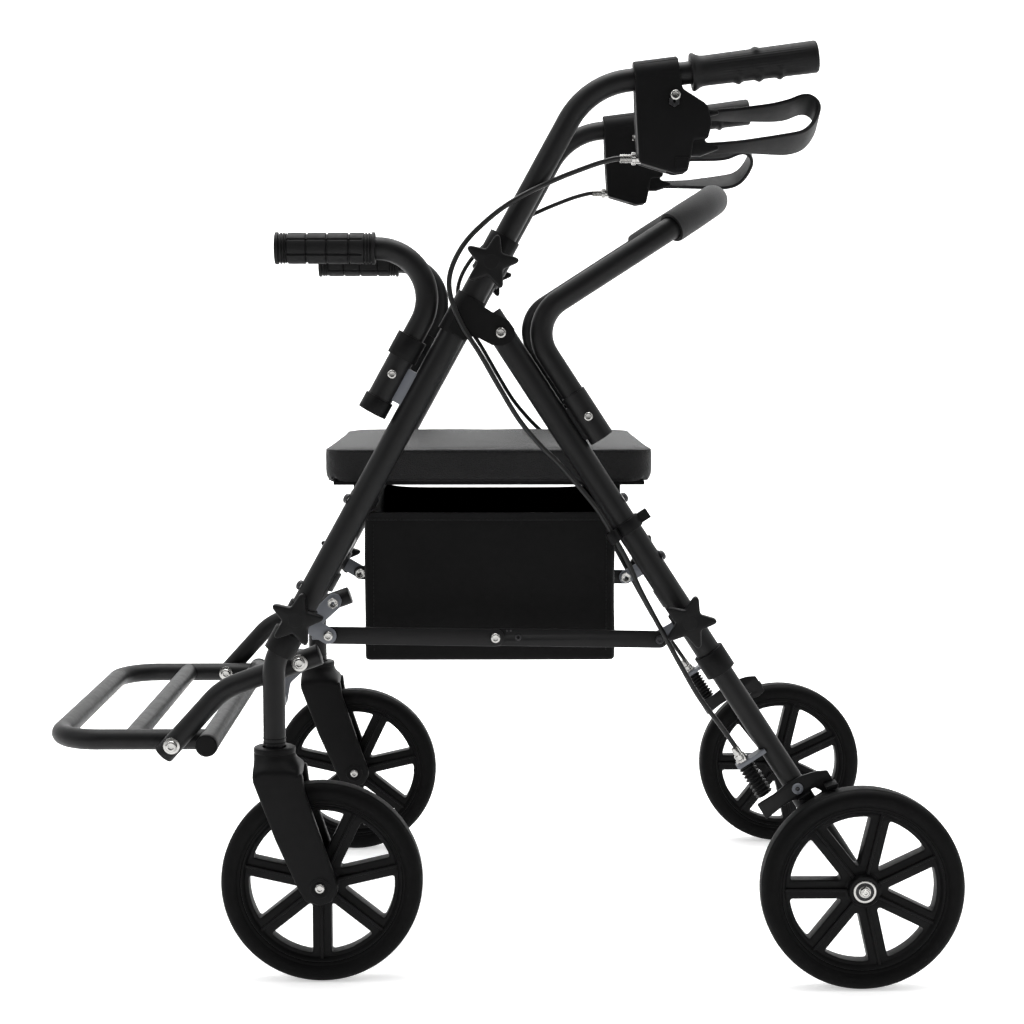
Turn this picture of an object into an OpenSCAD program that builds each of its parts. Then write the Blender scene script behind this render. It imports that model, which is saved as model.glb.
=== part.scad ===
// Folding rollator transport chair.
// +Z is up, -X is the walking direction, Y runs across the chair and is its
// mirror direction. The wheels stand on z = 0.

/* [Wheels] */
// Outer diameter of all four wheels
wheel_d = 200; // [196:1:202]
// Width of the tyres
tyre_w = 32; // [28:1:33]
// Number of spokes in each wheel
spokes = 7; // [5:1:9]

/* [Frame] */
// Outer diameter of the leg tubes
leg_od = 25; // [24.8:0.1:25.2]
// Outer diameter of the telescoping tubes, handles, armrests and backrest
tube_od = 22; // [21.8:0.1:22]
// Outer diameter of the foot loop tubes
foot_od = 21; // [19:0.5:21]

/* [Seat and bag] */
// Half width of the seat cushion
seat_half_w = 189; // [180:1:195]
// Thickness of the seat cushion
seat_t = 33; // [25:1:40]
// Half width of the storage bag
bag_half_w = 185; // [150:1:190]
// Height of the lower edge of the storage bag
bag_floor = 309; // [290:1:360]

/* [Grips] */
// Outer diameter of the hand grips
grip_d = 30; // [28:0.5:33]
// Outer diameter of the backrest foam
foam_d = 31; // [28:0.5:34]

/* [Hidden] */
$fn = 48;

// plane of the legs, and of the rear wheels
leg_y = 252;
rear_y = 284;
leg_r = leg_od / 2;
leg_ri = 11.1;
tube_r = tube_od / 2;
tube_ri = 9.5;
foot_r = foot_od / 2;
wheel_r = wheel_d / 2;
hand_r = grip_d / 2;
foam_r = foam_d / 2;

// front leg: reference point and lean from the vertical
front_x = -181.9;
front_z = 386.7;
front_lean = 28.8;
// rear axle
rear_x = 359;
axle_z = wheel_r;
// caster stem and caster axle
stem_x = -218.8;
caster_x = -172.8;
// fold pivot, in front leg coordinates
pivot_n = 40.6;
pivot_s = 313.9;
pivot_x = front_x + pivot_n * cos(front_lean) + pivot_s * sin(front_lean);
pivot_z = front_z - pivot_n * sin(front_lean) + pivot_s * cos(front_lean);
// rear leg: runs from the axle to the fold pivot
rear_lean = atan2(rear_x - pivot_x, pivot_z - axle_z);
r_pivot = norm([rear_x - pivot_x, pivot_z - axle_z]);
// positions along the front leg
s_lower_bar = 3;
s_upper_bar = 100.2;
s_front_knob = -23.7;
s_handle_knob = 368.4;
// positions along the rear leg, from the axle
r_lower_bar = 379.2;
r_knob = 313.6;
r_brake = 113;
r_tab = 161.6;
// offsets of the armrest and backrest sockets from their legs
arm_n = -32.2;
back_n = 26.6;
back_bend = 110;
back_bar = 227;
foam_start = 28;
// folding side link: front, middle and rear pivots
link_f = [-164.8, 345.6];
link_m = [-0.4, 342.9];
link_r = [161.8, 340.2];
// footrest
foot_y = 220;
loop_y = 197.5;
foot_pivot = [-324, 231];
arm_pivot = [-195.5, 314.7];
arm_corner = [-273.6, 286.6];
// lever pivot in the brake housing
lever_pivot = [182, 836];
// seat hinge and rear rest
bar_z = front_z + s_upper_bar * cos(front_lean);
front_bar_x = front_x + s_upper_bar * sin(front_lean);
r_upper_bar = (bar_z - axle_z) / cos(rear_lean);
rear_bar_x = rear_x - r_upper_bar * sin(rear_lean);
seat_z = 488.6;

black = [0.05, 0.05, 0.055];
plastic = [0.08, 0.08, 0.085];
steel = [0.72, 0.73, 0.75];
grey = [0.36, 0.38, 0.42];
soft = [0.1, 0.1, 0.105];

// ---- placing ----
module on_front() translate([front_x, 0, front_z]) rotate([0, front_lean, 0]) children();
module on_rear() translate([rear_x, 0, axle_z]) rotate([0, -rear_lean, 0]) children();
module on_handle() on_front() translate([0, 0, 561.4]) rotate([0, 53.98, 0]) children();
module both() { children(); mirror([0, 1, 0]) children(); }
module right() mirror([0, 1, 0]) children();

// ---- shapes ----
module ycyl(r, y0, y1) translate([0, y0, 0]) rotate([-90, 0, 0]) cylinder(r = r, h = y1 - y0);
module xcyl(r, x0, x1) translate([x0, 0, 0]) rotate([0, 90, 0]) cylinder(r = r, h = x1 - x0);
module zcyl(r, z0, z1) translate([0, 0, z0]) cylinder(r = r, h = z1 - z0);
module ztube(ro, ri, z0, z1) difference() { zcyl(ro, z0, z1); zcyl(ri, z0 - 1, z1 + 1); }
module ring2(ro, ri) { if (ri > 0) difference() { circle(r = ro); circle(r = ri); } else circle(r = ro); }
// plate in the XZ plane, from y0 to y1
module plate(pts, y0, y1) translate([0, y1, 0]) rotate([90, 0, 0]) linear_extrude(y1 - y0) polygon(pts);
// bend of radius R that leaves along +Z and turns towards +X
module elbow(R, a, ro, ri) translate([R, 0, 0]) rotate([90, 0, 180])
  rotate_extrude(angle = a) translate([R, 0]) ring2(ro, ri);
// bent tube: [0, length] is straight, [1, radius, angle, roll] is a bend
module pipe(p, ro, ri, i = 0) {
  if (i < len(p)) {
    if (p[i][0] == 0) {
      // straights run 1 mm into the bends, which are a hair thicker
      translate([0, 0, i > 0 ? -1 : 0]) linear_extrude(p[i][1] + (i > 0 ? 1 : 0) + (i < len(p) - 1 ? 1 : 0)) ring2(ro, ri);
      translate([0, 0, p[i][1]]) pipe(p, ro, ri, i + 1);
    } else {
      rotate([0, 0, p[i][3]]) {
        elbow(p[i][1], p[i][2], ro + 0.05, ri);
        translate([p[i][1], 0, 0]) rotate([0, p[i][2], 0]) translate([-p[i][1], 0, 0])
          pipe(p, ro, ri, i + 1);
      }
    }
  }
}
// open-ended tube along the same kind of path
function longer(p) = [for (i = [0:len(p) - 1]) i == 0 || i == len(p) - 1 ? [0, p[i][1] + 1] : p[i]];
module hpipe(p, ro, ri) difference() { pipe(p, ro, 0); translate([0, 0, -1]) pipe(longer(p), ri, 0); }
// flat bar with round ends between two points of the XZ plane
module flat_bar(a, b, hw, y0, y1) {
  l = norm(b - a);
  ang = atan2(b[1] - a[1], b[0] - a[0]);
  translate([a[0], 0, a[1]]) rotate([0, -ang, 0]) {
    translate([0, y0, -hw]) cube([l, y1 - y0, 2 * hw]);
    ycyl(hw, y0, y1);
    translate([l, 0, 0]) ycyl(hw, y0, y1);
  }
}
// headed bolt across a joint, head on the outside
module ybolt(r, rh, y_out, y_in, h) { ycyl(r, y_out, y_in); ycyl(rh, y_out - h, y_out); }

// ---- swept cable ----
function cr(a, b, c, d, t) = 0.5 * (2 * b + (c - a) * t + (2 * a - 5 * b + 4 * c - d) * t * t + (3 * b - a - 3 * c + d) * t * t * t);
function smooth(p, n) = [for (i = [0:len(p) - 2]) for (k = [0:n - 1])
    cr(p[max(i - 1, 0)], p[i], p[i + 1], p[min(i + 2, len(p) - 1)], k / n), p[len(p) - 1]];
function unit(v) = v / norm(v);
function tang(p, i) = unit(p[min(i + 1, len(p) - 1)] - p[max(i - 1, 0)]);
module cable(route, r, n = 8) {
  p = smooth(route, 1);
  m = len(p);
  ring_pts = [for (i = [0:m - 1]) let (t = tang(p, i), u = unit(cross(t, [0, 1, 0])), v = cross(t, u))
    for (k = [0:n - 1]) p[i] + r * (cos(360 * k / n) * u + sin(360 * k / n) * v)];
  sides = [for (i = [0:m - 2]) for (k = [0:n - 1])
    [i * n + k, i * n + (k + 1) % n, (i + 1) * n + (k + 1) % n, (i + 1) * n + k]];
  polyhedron(ring_pts, concat(sides, [[for (k = [n - 1:-1:0]) k]], [[for (k = [0:n - 1]) (m - 1) * n + k]]));
}
cable_r = 2.5;
route_upper = [[116, -256, 809.5], [90, -257, 801], [62, -262, 790.5], [33, -267, 777], [9, -269, 763],
  [-10, -271, 748], [-27, -273, 731], [-38, -273, 714], [-44, -273, 697], [-44, -273, 681], [-39, -273, 664], [-31, -273, 647]];
route_middle = [[-30, -273, 645], [-15, -273, 622], [4, -272, 589], [23, -270, 558], [43, -268, 534],
  [62, -266, 515], [82, -265, 492], [101, -265, 468], [117, -265, 441]];
route_lower = [[118, -265, 439], [129, -265, 419], [140, -265, 394], [152, -265, 371], [165, -265, 347],
  [182, -264, 316], [200, -262, 285], [218, -260, 261], [235, -258, 237], [242, -258, 226]];

// ================= front frame =================
module front_leg() difference() {
  on_front() translate([0, -leg_y, 0]) ztube(leg_r, leg_ri, -60, 390);
  on_front() for (s = [s_front_knob, s_handle_knob]) translate([0, 0, s]) ycyl(4.05, -leg_y - 20, -leg_y);
  on_front() for (s = [s_lower_bar, s_upper_bar]) translate([0, -leg_y, s]) xcyl(2.02, -20, 0);
}
module front_legs() color(black) both() front_leg();

module pivot_bracket() difference() {
  on_front() translate([0, -leg_y, 0]) {
    for (k = [-1, 1]) plate([[-6, 293], [12, 291], [20, 299], [39, 299.5], [48, 304], [53.5, 311], [54, 318], [50.5, 323.5], [41.2, 328], [23.7, 327.5], [-6, 329]],
      k > 0 ? 12.8 : -15.3, k > 0 ? 15.3 : -12.8);
    ztube(15.3, leg_r + 0.05, 290, 331);
  }
  on_front() translate([0, -leg_y, 0]) zcyl(leg_r + 0.05, 280, 350);
  on_front() translate([pivot_n, 0, pivot_s]) ycyl(4.02, -leg_y - 30, -leg_y + 30);
  on_front() translate([pivot_n, -leg_y, pivot_s]) ycyl(24.6, -12.8, 12.8);
}
module pivot_brackets() color(plastic) both() pivot_bracket();

module pivot_bolt_set() {
  on_front() translate([pivot_n, -leg_y, pivot_s]) {
    ybolt(4, 5.2, -15.4, 19, 3.4);
    ycyl(6.5, 15.4, 20);
  }
  translate([link_f[0], 0, link_f[1]]) {
    ybolt(4, 5.4, -251.8, -240, 3.4);
    ycyl(6.2, -243.6, -239);
  }
}
module pivot_bolts() color(steel) both() pivot_bolt_set();

module front_cross_tubes() color(black) on_front() for (s = [s_lower_bar, s_upper_bar]) difference() {
  translate([0, 0, s]) difference() { ycyl(tube_r, -leg_y, leg_y); ycyl(tube_ri, -leg_y - 1, leg_y + 1); }
  both() translate([0, -leg_y, 0]) zcyl(leg_r + 0.02, -40, 140);
}

module front_screws() color(plastic) both() on_front() {
  for (s = [s_lower_bar, s_upper_bar]) translate([0, -leg_y, s]) { xcyl(4.5, -15.2, -12.55); xcyl(2, -12.6, -11.2); }
  translate([arm_n, -leg_y, 228.4]) { ycyl(4.2, -15.2, -12.6); ycyl(2.5, -12.7, -11.2); }
}

module armrest_tubes() color(black) both() on_front() translate([arm_n, -leg_y, 206])
  hpipe([[0, 79.4], [1, 48, 118.8, 180], [0, 93]], tube_r, tube_ri);

module armrest_socket() difference() {
  union() {
    translate([arm_n, -leg_y, 0]) zcyl(leg_r, 200, 256);
    translate([arm_n, -leg_y - 6, 206]) cube([-arm_n, 12, 34]);
  }
  translate([arm_n, -leg_y, 0]) zcyl(tube_r + 0.05, 190, 270);
  translate([0, -leg_y, 0]) zcyl(leg_r + 0.03, 190, 270);
  translate([arm_n, -leg_y, 228.4]) ycyl(2.52, -20, 0);
}
module armrest_sockets() color(grey) both() on_front() armrest_socket();

module armrest_grips() color(plastic) both() translate([0, -leg_y, 723.5]) difference() {
  union() { xcyl(hand_r, -213, -117); xcyl(17, -213, -209); xcyl(17, -120, -116); }
  xcyl(tube_r + 0.12, -208.9, -100);
}

// collar at the open end of a leg and clamp ring with the knob's boss
module collar(s0, s1, lip0, lip1, sk) difference() {
  union() {
    zcyl(15.5, s0, s1);
    zcyl(14.6, sk - 11, sk + 11);
    translate([0, 0, sk]) ycyl(9, -23, -8);
  }
  zcyl(leg_r + 0.03, max(s0, lip1 > s0 && lip0 <= s0 ? lip1 : s0) - (lip0 <= s0 ? 0 : 1), lip0 > s0 ? lip0 : 999);
  zcyl(tube_r + 0.3, s0 - 5, s1 + 5);
  translate([0, 0, sk]) zcyl(leg_r + 0.03, -11.5, 11.5);
  translate([0, 0, sk]) ycyl(4.05, -30, 0);
}
module front_collar_set() on_front() {
  translate([0, -leg_y, 0]) {
    collar(375, 397, 390.1, 397, s_handle_knob);
    collar(-66, -42, -66, -60.1, s_front_knob);
  }
  // armrest tube collar and socket end cap
  translate([arm_n, -leg_y, 0]) {
    difference() { zcyl(15, 246, 269); zcyl(leg_r + 0.03, 240, 256.1); zcyl(tube_r + 0.1, 240, 280); }
    difference() { zcyl(14.5, 186, 202); zcyl(leg_r + 0.03, 199.9, 210); }
  }
}
module front_collars() color(plastic) both() front_collar_set();

module front_link_bracket() difference() {
  union() {
    flat_bar([-190, 345], link_f, 9.5, -247.7, -243.7);
  }
  on_front() translate([0, -leg_y, 0]) { zcyl(14.7, -60, 20); zcyl(15.65, -70, -41.7); }
  translate([link_f[0], 0, link_f[1]]) ycyl(4.02, -260, -230);
}
module front_link_brackets() color(grey) both() front_link_bracket();

// bag: open tray of cloth with sleeves round the two upper cross tubes
module storage_bag() color(soft) difference() {
  union() {
    difference() {
      translate([-133, -bag_half_w, bag_floor]) cube([254.5, 2 * bag_half_w, 460 - bag_floor]);
      translate([-130.5, -bag_half_w + 2.5, bag_floor + 2.5]) cube([249.5, 2 * bag_half_w - 5, 200]);
    }
    translate([-133, -150, 450]) cube([2.5, 300, 24]);
    translate([119, -150, 450]) cube([2.5, 300, 24]);
    for (x = [front_bar_x, rear_bar_x]) translate([x, 0, bar_z]) ycyl(13.4, -150, 150);
  }
  for (x = [front_bar_x, rear_bar_x]) translate([x, 0, bar_z]) ycyl(11.35, -160, 160);
}

// ================= rear frame =================
module rear_leg() difference() {
  on_rear() translate([0, -leg_y, 0]) ztube(leg_r, leg_ri, 255, r_pivot + 20.5);
  on_rear() translate([0, 0, r_pivot]) ycyl(4.05, -leg_y - 20, -leg_y + 20);
  on_rear() translate([0, 0, r_knob]) ycyl(4.05, -leg_y - 20, -leg_y);
  on_rear() for (s = [r_lower_bar, r_upper_bar]) translate([0, -leg_y, s]) xcyl(2.02, 0, 20);
}
module rear_legs() color(black) both() rear_leg();

module rear_cross_tubes() color(black) on_rear() for (s = [r_lower_bar, r_upper_bar]) difference() {
  translate([0, 0, s]) difference() { ycyl(tube_r, -leg_y, leg_y); ycyl(tube_ri, -leg_y - 1, leg_y + 1); }
  both() translate([0, -leg_y, 0]) zcyl(leg_r + 0.02, 340, 480);
}

module rear_fitting_set() on_rear() translate([0, -leg_y, 0]) {
  collar(250, 274, 250, 254.9, r_knob);
  // cable clip: ring, eye for the cable, tail
  difference() {
    union() {
      zcyl(15, 416, 428);
      translate([-16, -13.5, 416]) cylinder(r = 6.5, h = 12);
      translate([-20, -12, 416]) cube([14, 8, 12]);
      translate([12, -4, 417]) cube([13, 8, 10]);
    }
    zcyl(leg_r + 0.03, 410, 435);
    translate([-16, -13.5, 410]) cylinder(r = 4.6, h = 30);
  }
}
module rear_leg_collars() color(plastic) both() rear_fitting_set();

module rear_screw_set() {
  on_rear() {
    for (s = [r_lower_bar, r_upper_bar]) translate([0, -leg_y, s]) { xcyl(4.5, 12.55, 15.2); xcyl(2, 11.2, 12.6); }
    translate([back_n, -leg_y, 533.7]) { ycyl(4.2, -15.2, -12.6); ycyl(2.5, -12.7, -11.2); }
  }
  translate([link_r[0], 0, link_r[1]]) { ybolt(4, 5.4, -252.2, -240, 3.4); ycyl(6.2, -243.3, -239); }
}
module rear_screws() color(steel) both() rear_screw_set();

module rear_link_bracket() difference() {
  flat_bar([188, 340], link_r, 9.5, -252, -248);
  on_rear() translate([0, -leg_y, 0]) zcyl(14.65, 280, 340);
  translate([link_r[0], 0, link_r[1]]) ycyl(4.02, -260, -230);
}
module rear_link_brackets() color(grey) both() rear_link_bracket();

back_path = [[0, 92.6], [1, 38, 90.4, 0], [0, back_bar - 38.3 - back_bend], [1, back_bend, 90, 90], [0, leg_y - back_bend]];
module backrest_tube() color(black) difference() {
  both() on_rear() translate([back_n, -leg_y, 512]) pipe(back_path, tube_r, 0);
  both() on_rear() translate([back_n, -leg_y, 511]) pipe(longer(back_path), tube_ri, 0);
}

module on_back_bar() on_rear() translate([back_n, -leg_y, 642.9]) rotate([0, 90.4, 0]) children();
module backrest_foam() color(soft) difference() {
  // the sleeve begins part of the way round the bend
  both() on_back_bar() translate([0, 0, back_bar - back_bend]) rotate([0, 0, 90]) translate([back_bend, 0, 0]) rotate([0, foam_start, 0]) translate([-back_bend, 0, 0])
    pipe([[1, back_bend, 90 - foam_start, 0], [0, leg_y - back_bend]], foam_r, 0);
  both() on_back_bar() translate([0, 0, back_bar - back_bend]) pipe([[1, back_bend, 90, 90], [0, leg_y - back_bend + 1]], tube_r + 0.1, 0);
}

module backrest_socket() difference() {
  union() {
    translate([back_n, -leg_y, 0]) zcyl(leg_r, 508, 560);
    translate([8, -leg_y - 5, 515]) cube([back_n - 8, 10, 36]);
  }
  translate([back_n, -leg_y, 0]) zcyl(tube_r + 0.05, 510, 570);
  translate([0, -leg_y, 0]) zcyl(leg_r + 0.03, 500, 570);
  translate([back_n, -leg_y, 533.7]) ycyl(2.52, -20, 0);
}
module backrest_sockets() color(black) both() on_rear() backrest_socket();

// ================= folding side links =================
module side_link_front() difference() {
  union() {
    flat_bar(link_f, link_m, 8.5, -251.5, -248);
    translate([link_m[0], 0, link_m[1]]) ycyl(5.4, -255, -250);
  }
  translate([link_f[0], 0, link_f[1]]) ycyl(4.05, -260, -240);
}
module side_links_front() color(black) both() side_link_front();
module side_link_rear() difference() {
  union() {
    flat_bar(link_m, link_r, 8.5, -247.4, -243.9);
    translate([link_m[0], 0, link_m[1]]) ycyl(6.2, -245, -239.9);
  }
  translate([link_r[0], 0, link_r[1]]) ycyl(4.05, -260, -240);
}
module side_links_rear() color(black) both() side_link_rear();

// ================= seat =================
module seat_base() color(plastic) difference() {
  union() {
    translate([-164, -183, seat_z]) cube([315, 366, 4]);
    both() {
      translate([front_bar_x, 0, bar_z]) ycyl(14.5, -182, -160);
      translate([front_bar_x - 10, -182, bar_z + 8]) cube([20, 22, 8]);
      translate([rear_bar_x - 12, -182, bar_z + 5]) cube([24, 22, 10]);
    }
  }
  translate([front_bar_x, 0, bar_z]) ycyl(tube_r + 0.05, -200, 200);
  translate([rear_bar_x, 0, bar_z]) ycyl(tube_r + 0.35, -200, 200);
}
module seat_cushion() color(soft) translate([0, 0, seat_z + 4.1]) linear_extrude(seat_t) {
  r = 24;
  translate([-170.4 + r, -seat_half_w]) square([327.4 - 2 * r, 2 * seat_half_w]);
  translate([-170.4, -seat_half_w + r]) square([327.4, 2 * seat_half_w - 2 * r]);
  for (x = [-170.4 + r, 157 - r]) for (y = [-seat_half_w + r, seat_half_w - r]) translate([x, y]) circle(r = r);
}

// ================= handles and hand brakes =================
module handle_tube() on_front() translate([0, -leg_y, 225])
  hpipe([[0, 297.7], [1, 76, 53.98, 0], [0, 177.3]], tube_r, tube_ri);
module handle_tube_left() color(black) handle_tube();
module handle_tube_right() color(black) right() handle_tube();

module hand_grip() on_handle() translate([0, -leg_y, 0]) difference() {
  union() { zcyl(18, 100, 104); zcyl(hand_r, 103, 222); }
  zcyl(tube_r + 0.06, 90, 216.1);
}
module hand_grip_left() color(plastic) hand_grip();
module hand_grip_right() color(plastic) right() hand_grip();

module brake_housing() {
  difference() {
    union() {
      plate([[132, 899], [136, 803], [172, 793.5], [184, 795], [188, 814], [189.4, 826.5], [203.3, 827.5], [206.5, 840.7],
        [202.5, 857.6], [199.6, 860.8], [178.5, 874], [175, 905], [134, 901]], -269, -235);
      translate([0, -256, 809]) xcyl(4.5, 119, 140);
    }
    on_handle() translate([0, -leg_y, 0]) zcyl(tube_r + 0.06, 20, 140);
    translate([164, -259.6, 806]) cube([60, 15.2, 59]);
    translate([0, -256, 809]) xcyl(2.6, 110, 128);
  }
  // lever pin
  translate([lever_pivot[0], 0, lever_pivot[1]]) ycyl(3, -264, -240);
}
module brake_housing_left() color(plastic) brake_housing();
module brake_housing_right() color(plastic) right() brake_housing();

// loop lever: a strap bent into a closed loop, leaning outwards at the top
module brake_lever() difference() {
  union() {
    plate([[172, 829], [180, 824], [213, 817], [213, 855], [180, 848], [172, 843]], -259, -245);
    translate([210, -252, 836]) rotate([-26, 0, 0]) difference() {
      plate([[0, 20], [34, 23], [70, 25], [86, 29], [96, 25], [99, 14], [95, 3], [84, -9], [70, -15], [30, -20.5], [0, -22]], -14, 14);
      plate([[5, 14.5], [34, 17.5], [71, 20], [86, 23], [92, 20], [93.5, 13], [90, 5], [81, -4], [68, -9.5], [30, -15], [5, -16.5]], -20, 20);
    }
  }
  translate([lever_pivot[0], 0, lever_pivot[1]]) ycyl(3.05, -270, -230);
}
module brake_lever_left() color(grey) brake_lever();
module brake_lever_right() color(grey) right() brake_lever();

// ================= rear brakes =================
module brake_arm() on_rear() difference() {
  union() {
    plate([[-42, 121.2], [-42.4, 103.5], [-22.5, 105.6], [-10, 105.6], [-2, 100], [6, 93], [24, 88], [34, 90], [34.5, 112], [24.6, 117.5], [9.7, 121.6], [-8, 122.5], [-22.3, 120.8]], -266.6, -263.4);
    // shoe over the tyre
    difference() {
      ycyl(107.5, -297, -263.4);
      ycyl(wheel_r + 3, -310, -250);
      plate([[-200, -200], [200, -200], [200, 60], [44, 60], [0, 0], [29.8, 140], [-200, 140]], -310, -250);
      plate([[0, 0], [78, 216], [200, 216], [200, -10]], -310, -250);
    }
  }
  translate([0, 0, r_brake]) ycyl(3.05, -280, -250);
  plate([[10, 105.2], [15.2, 104.3], [19.8, 96.5], [10.1, 96.5]], -280, -250);
}
module brake_arm_left() color(grey) brake_arm();
module brake_arm_right() color(grey) right() brake_arm();

module brake_bracket() on_rear() {
  difference() {
    translate([-42, -265.5, r_tab - 2]) cube([36, 17, 4]);
    translate([0, -leg_y, 0]) zcyl(tube_r + 0.02, 100, 200);
    translate([-30, -258, 0]) zcyl(3, 100, 200);
  }
  // arm pivot pin
  translate([0, 0, r_brake]) { ycyl(3, -269.6, -241.5); ycyl(6, -269.6, -267); }
}
module brake_brackets() color(grey) both() brake_bracket();

module brake_boots() color(plastic) both() on_rear() translate([-30, -257, 0]) zcyl(8.5, 124, 159.3);

// ================= lower legs, casters and wheels =================
module front_lower_legs() color(black) both() translate([stem_x, -leg_y, 237])
  hpipe([[0, 69.8], [1, 50, 28.8, 0], [0, 113.8]], tube_r, 9);

module footrest_bracket() {
  difference() {
    union() {
      flat_bar([-207, 282], arm_pivot, 9.5, -208.7, -204.7);
      translate([-226, -243.5, 266]) cube([24, 38, 14]);
    }
    translate([stem_x, -leg_y, 0]) zcyl(tube_r + 0.03, 230, 320);
    translate([arm_pivot[0], 0, arm_pivot[1]]) ycyl(4.02, -240, -200);
  }
  // arm hinge bolt with head and nut
  translate([arm_pivot[0], 0, arm_pivot[1]]) { ybolt(4, 8, -231.2, -203, 4.5); ycyl(7, -204.6, -199); }
}
module footrest_brackets() color(grey) both() footrest_bracket();

module caster_fork() {
  difference() {
    union() {
      plate([[-239, 214], [-238, 209.6], [-191.5, 106], [-190.2, 96.5], [-155.4, 96.5], [-155.2, 104], [-189.6, 214]], -282, -222);
      translate([caster_x, 0, 100]) ycyl(17.8, -282, -222);
      translate([stem_x, -leg_y, 0]) zcyl(20.5, 205, 235.4);
    }
    translate([caster_x, 0, 100]) ycyl(106, -272, -232);
    // taper of the legs towards the crown
    translate([-300, -300, 208]) cube([200, 24, 60]);
    translate([-300, -228, 208]) cube([200, 24, 60]);
  }
  translate([stem_x, -leg_y, 0]) zcyl(8.95, 225, 285);
  translate([caster_x, 0, 100]) { ycyl(4, -284, -220); ycyl(6.5, -286, -281); ycyl(6.5, -223, -218); }
}
module caster_fork_left() color(plastic) caster_fork();
module caster_fork_right() color(plastic) right() caster_fork();

// moulded wheel centre: hub, spokes and rim
module rim(hub_hw, bore, phase) difference() {
  union() {
    ycyl(15, -hub_hw, hub_hw);
    ycyl(22, -10, 10);
    difference() { ycyl(80, -13, 13); ycyl(70, -20, 20); }
    for (k = [0:spokes - 1]) rotate([0, phase + k * 360 / spokes, 0]) translate([18, -8, -5.5]) cube([54, 16, 11]);
  }
  ycyl(bore, -40, 40);
}
module tyre() rotate([90, 0, 0]) rotate_extrude() {
  h = tyre_w / 2;
  polygon([[80.05, -13], [84, -13], [86, -h + 1], [91, -h], [wheel_r - 4, -h + 3], [wheel_r - 0.7, -h + 9], [wheel_r, -h + 14],
    [wheel_r, h - 14], [wheel_r - 0.7, h - 9], [wheel_r - 4, h - 3], [91, h], [86, h - 1], [84, 13], [80.05, 13]]);
}
module at_caster() translate([caster_x, -leg_y, axle_z]) children();
module at_rear() translate([rear_x, -rear_y, axle_z]) children();
module front_rim_left() color(plastic) at_caster() rim(19.6, 4.05, 90);
module front_rim_right() color(plastic) right() at_caster() rim(19.6, 4.05, 90);
module front_tyre_left() color(soft) at_caster() tyre();
module front_tyre_right() color(soft) right() at_caster() tyre();
module rear_rim_left() color(plastic) at_rear() rim(17.8, 4.05, 180);
module rear_rim_right() color(plastic) right() at_rear() rim(17.8, 4.05, 180);
module rear_tyre_left() color(soft) at_rear() tyre();
module rear_tyre_right() color(soft) right() at_rear() tyre();

module rear_lower_leg() on_rear() difference() {
  translate([0, -leg_y, 0]) ztube(tube_r, tube_ri, -13, 362);
  ycyl(4.02, -leg_y - 20, -leg_y + 20);
  translate([0, 0, r_brake]) ycyl(3.02, -leg_y - 20, -leg_y + 20);
}
module rear_lower_legs() color(black) both() rear_lower_leg();

module rear_axle() translate([rear_x, 0, axle_z]) {
  ycyl(4, -307, -238);
  ycyl(8, -265.8, -263.2);
  ycyl(5.4, -307, -302.2);
  ycyl(6.5, -240.8, -235.5);
}
module rear_axles() color(steel) both() rear_axle();

// ================= footrest =================
arm_a1 = atan2(arm_corner[1] - foot_pivot[1], arm_corner[0] - foot_pivot[0]);
arm_a2 = atan2(arm_pivot[1] - arm_corner[1], arm_pivot[0] - arm_corner[0]);
arm_l1 = norm(arm_corner - foot_pivot);
arm_l2 = norm(arm_pivot - arm_corner);
module footrest_arm() {
  difference() {
    translate([foot_pivot[0], -foot_y, foot_pivot[1]]) rotate([0, 90 - arm_a1, 0]) translate([0, 0, -15.5])
      hpipe([[0, arm_l1 + 15.5 - 60 * tan((arm_a1 - arm_a2) / 2)], [1, 60, arm_a1 - arm_a2, 0], [0, arm_l2 + 21 - 60 * tan((arm_a1 - arm_a2) / 2)]], foot_r, foot_r - 1.6);
    translate([arm_pivot[0], 0, arm_pivot[1]]) ycyl(4.05, -240, -200);
  }
  // loop hinge bolt
  translate([foot_pivot[0], 0, foot_pivot[1]]) { ybolt(4, 8, -230.2, -183, 4.5); ycyl(7, -186.7, -182); }
}
module footrest_arms() color(black) both() footrest_arm();

module loop_half(r) translate([-292, -loop_y, foot_pivot[1]]) rotate([0, -90, 0])
  pipe([[0, 111.5], [1, 45, 90, 90], [0, loop_y - 45]], r, 0);
module footplate() color(black) difference() {
  union() {
    both() loop_half(foot_r);
    translate([-289.3, 0, foot_pivot[1]]) ycyl(11, -231.5, 231.5);
    translate([-370, 0, foot_pivot[1]]) ycyl(10.2, -loop_y, loop_y);
  }
  both() loop_half(foot_r - 1.6);
  translate([-289.3, 0, foot_pivot[1]]) ycyl(9.4, -228, 228);
  translate([-370, 0, foot_pivot[1]]) ycyl(8.8, -loop_y + 4, loop_y - 4);
  translate([foot_pivot[0], 0, foot_pivot[1]]) both() ycyl(4.05, -240, -180);
}

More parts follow.
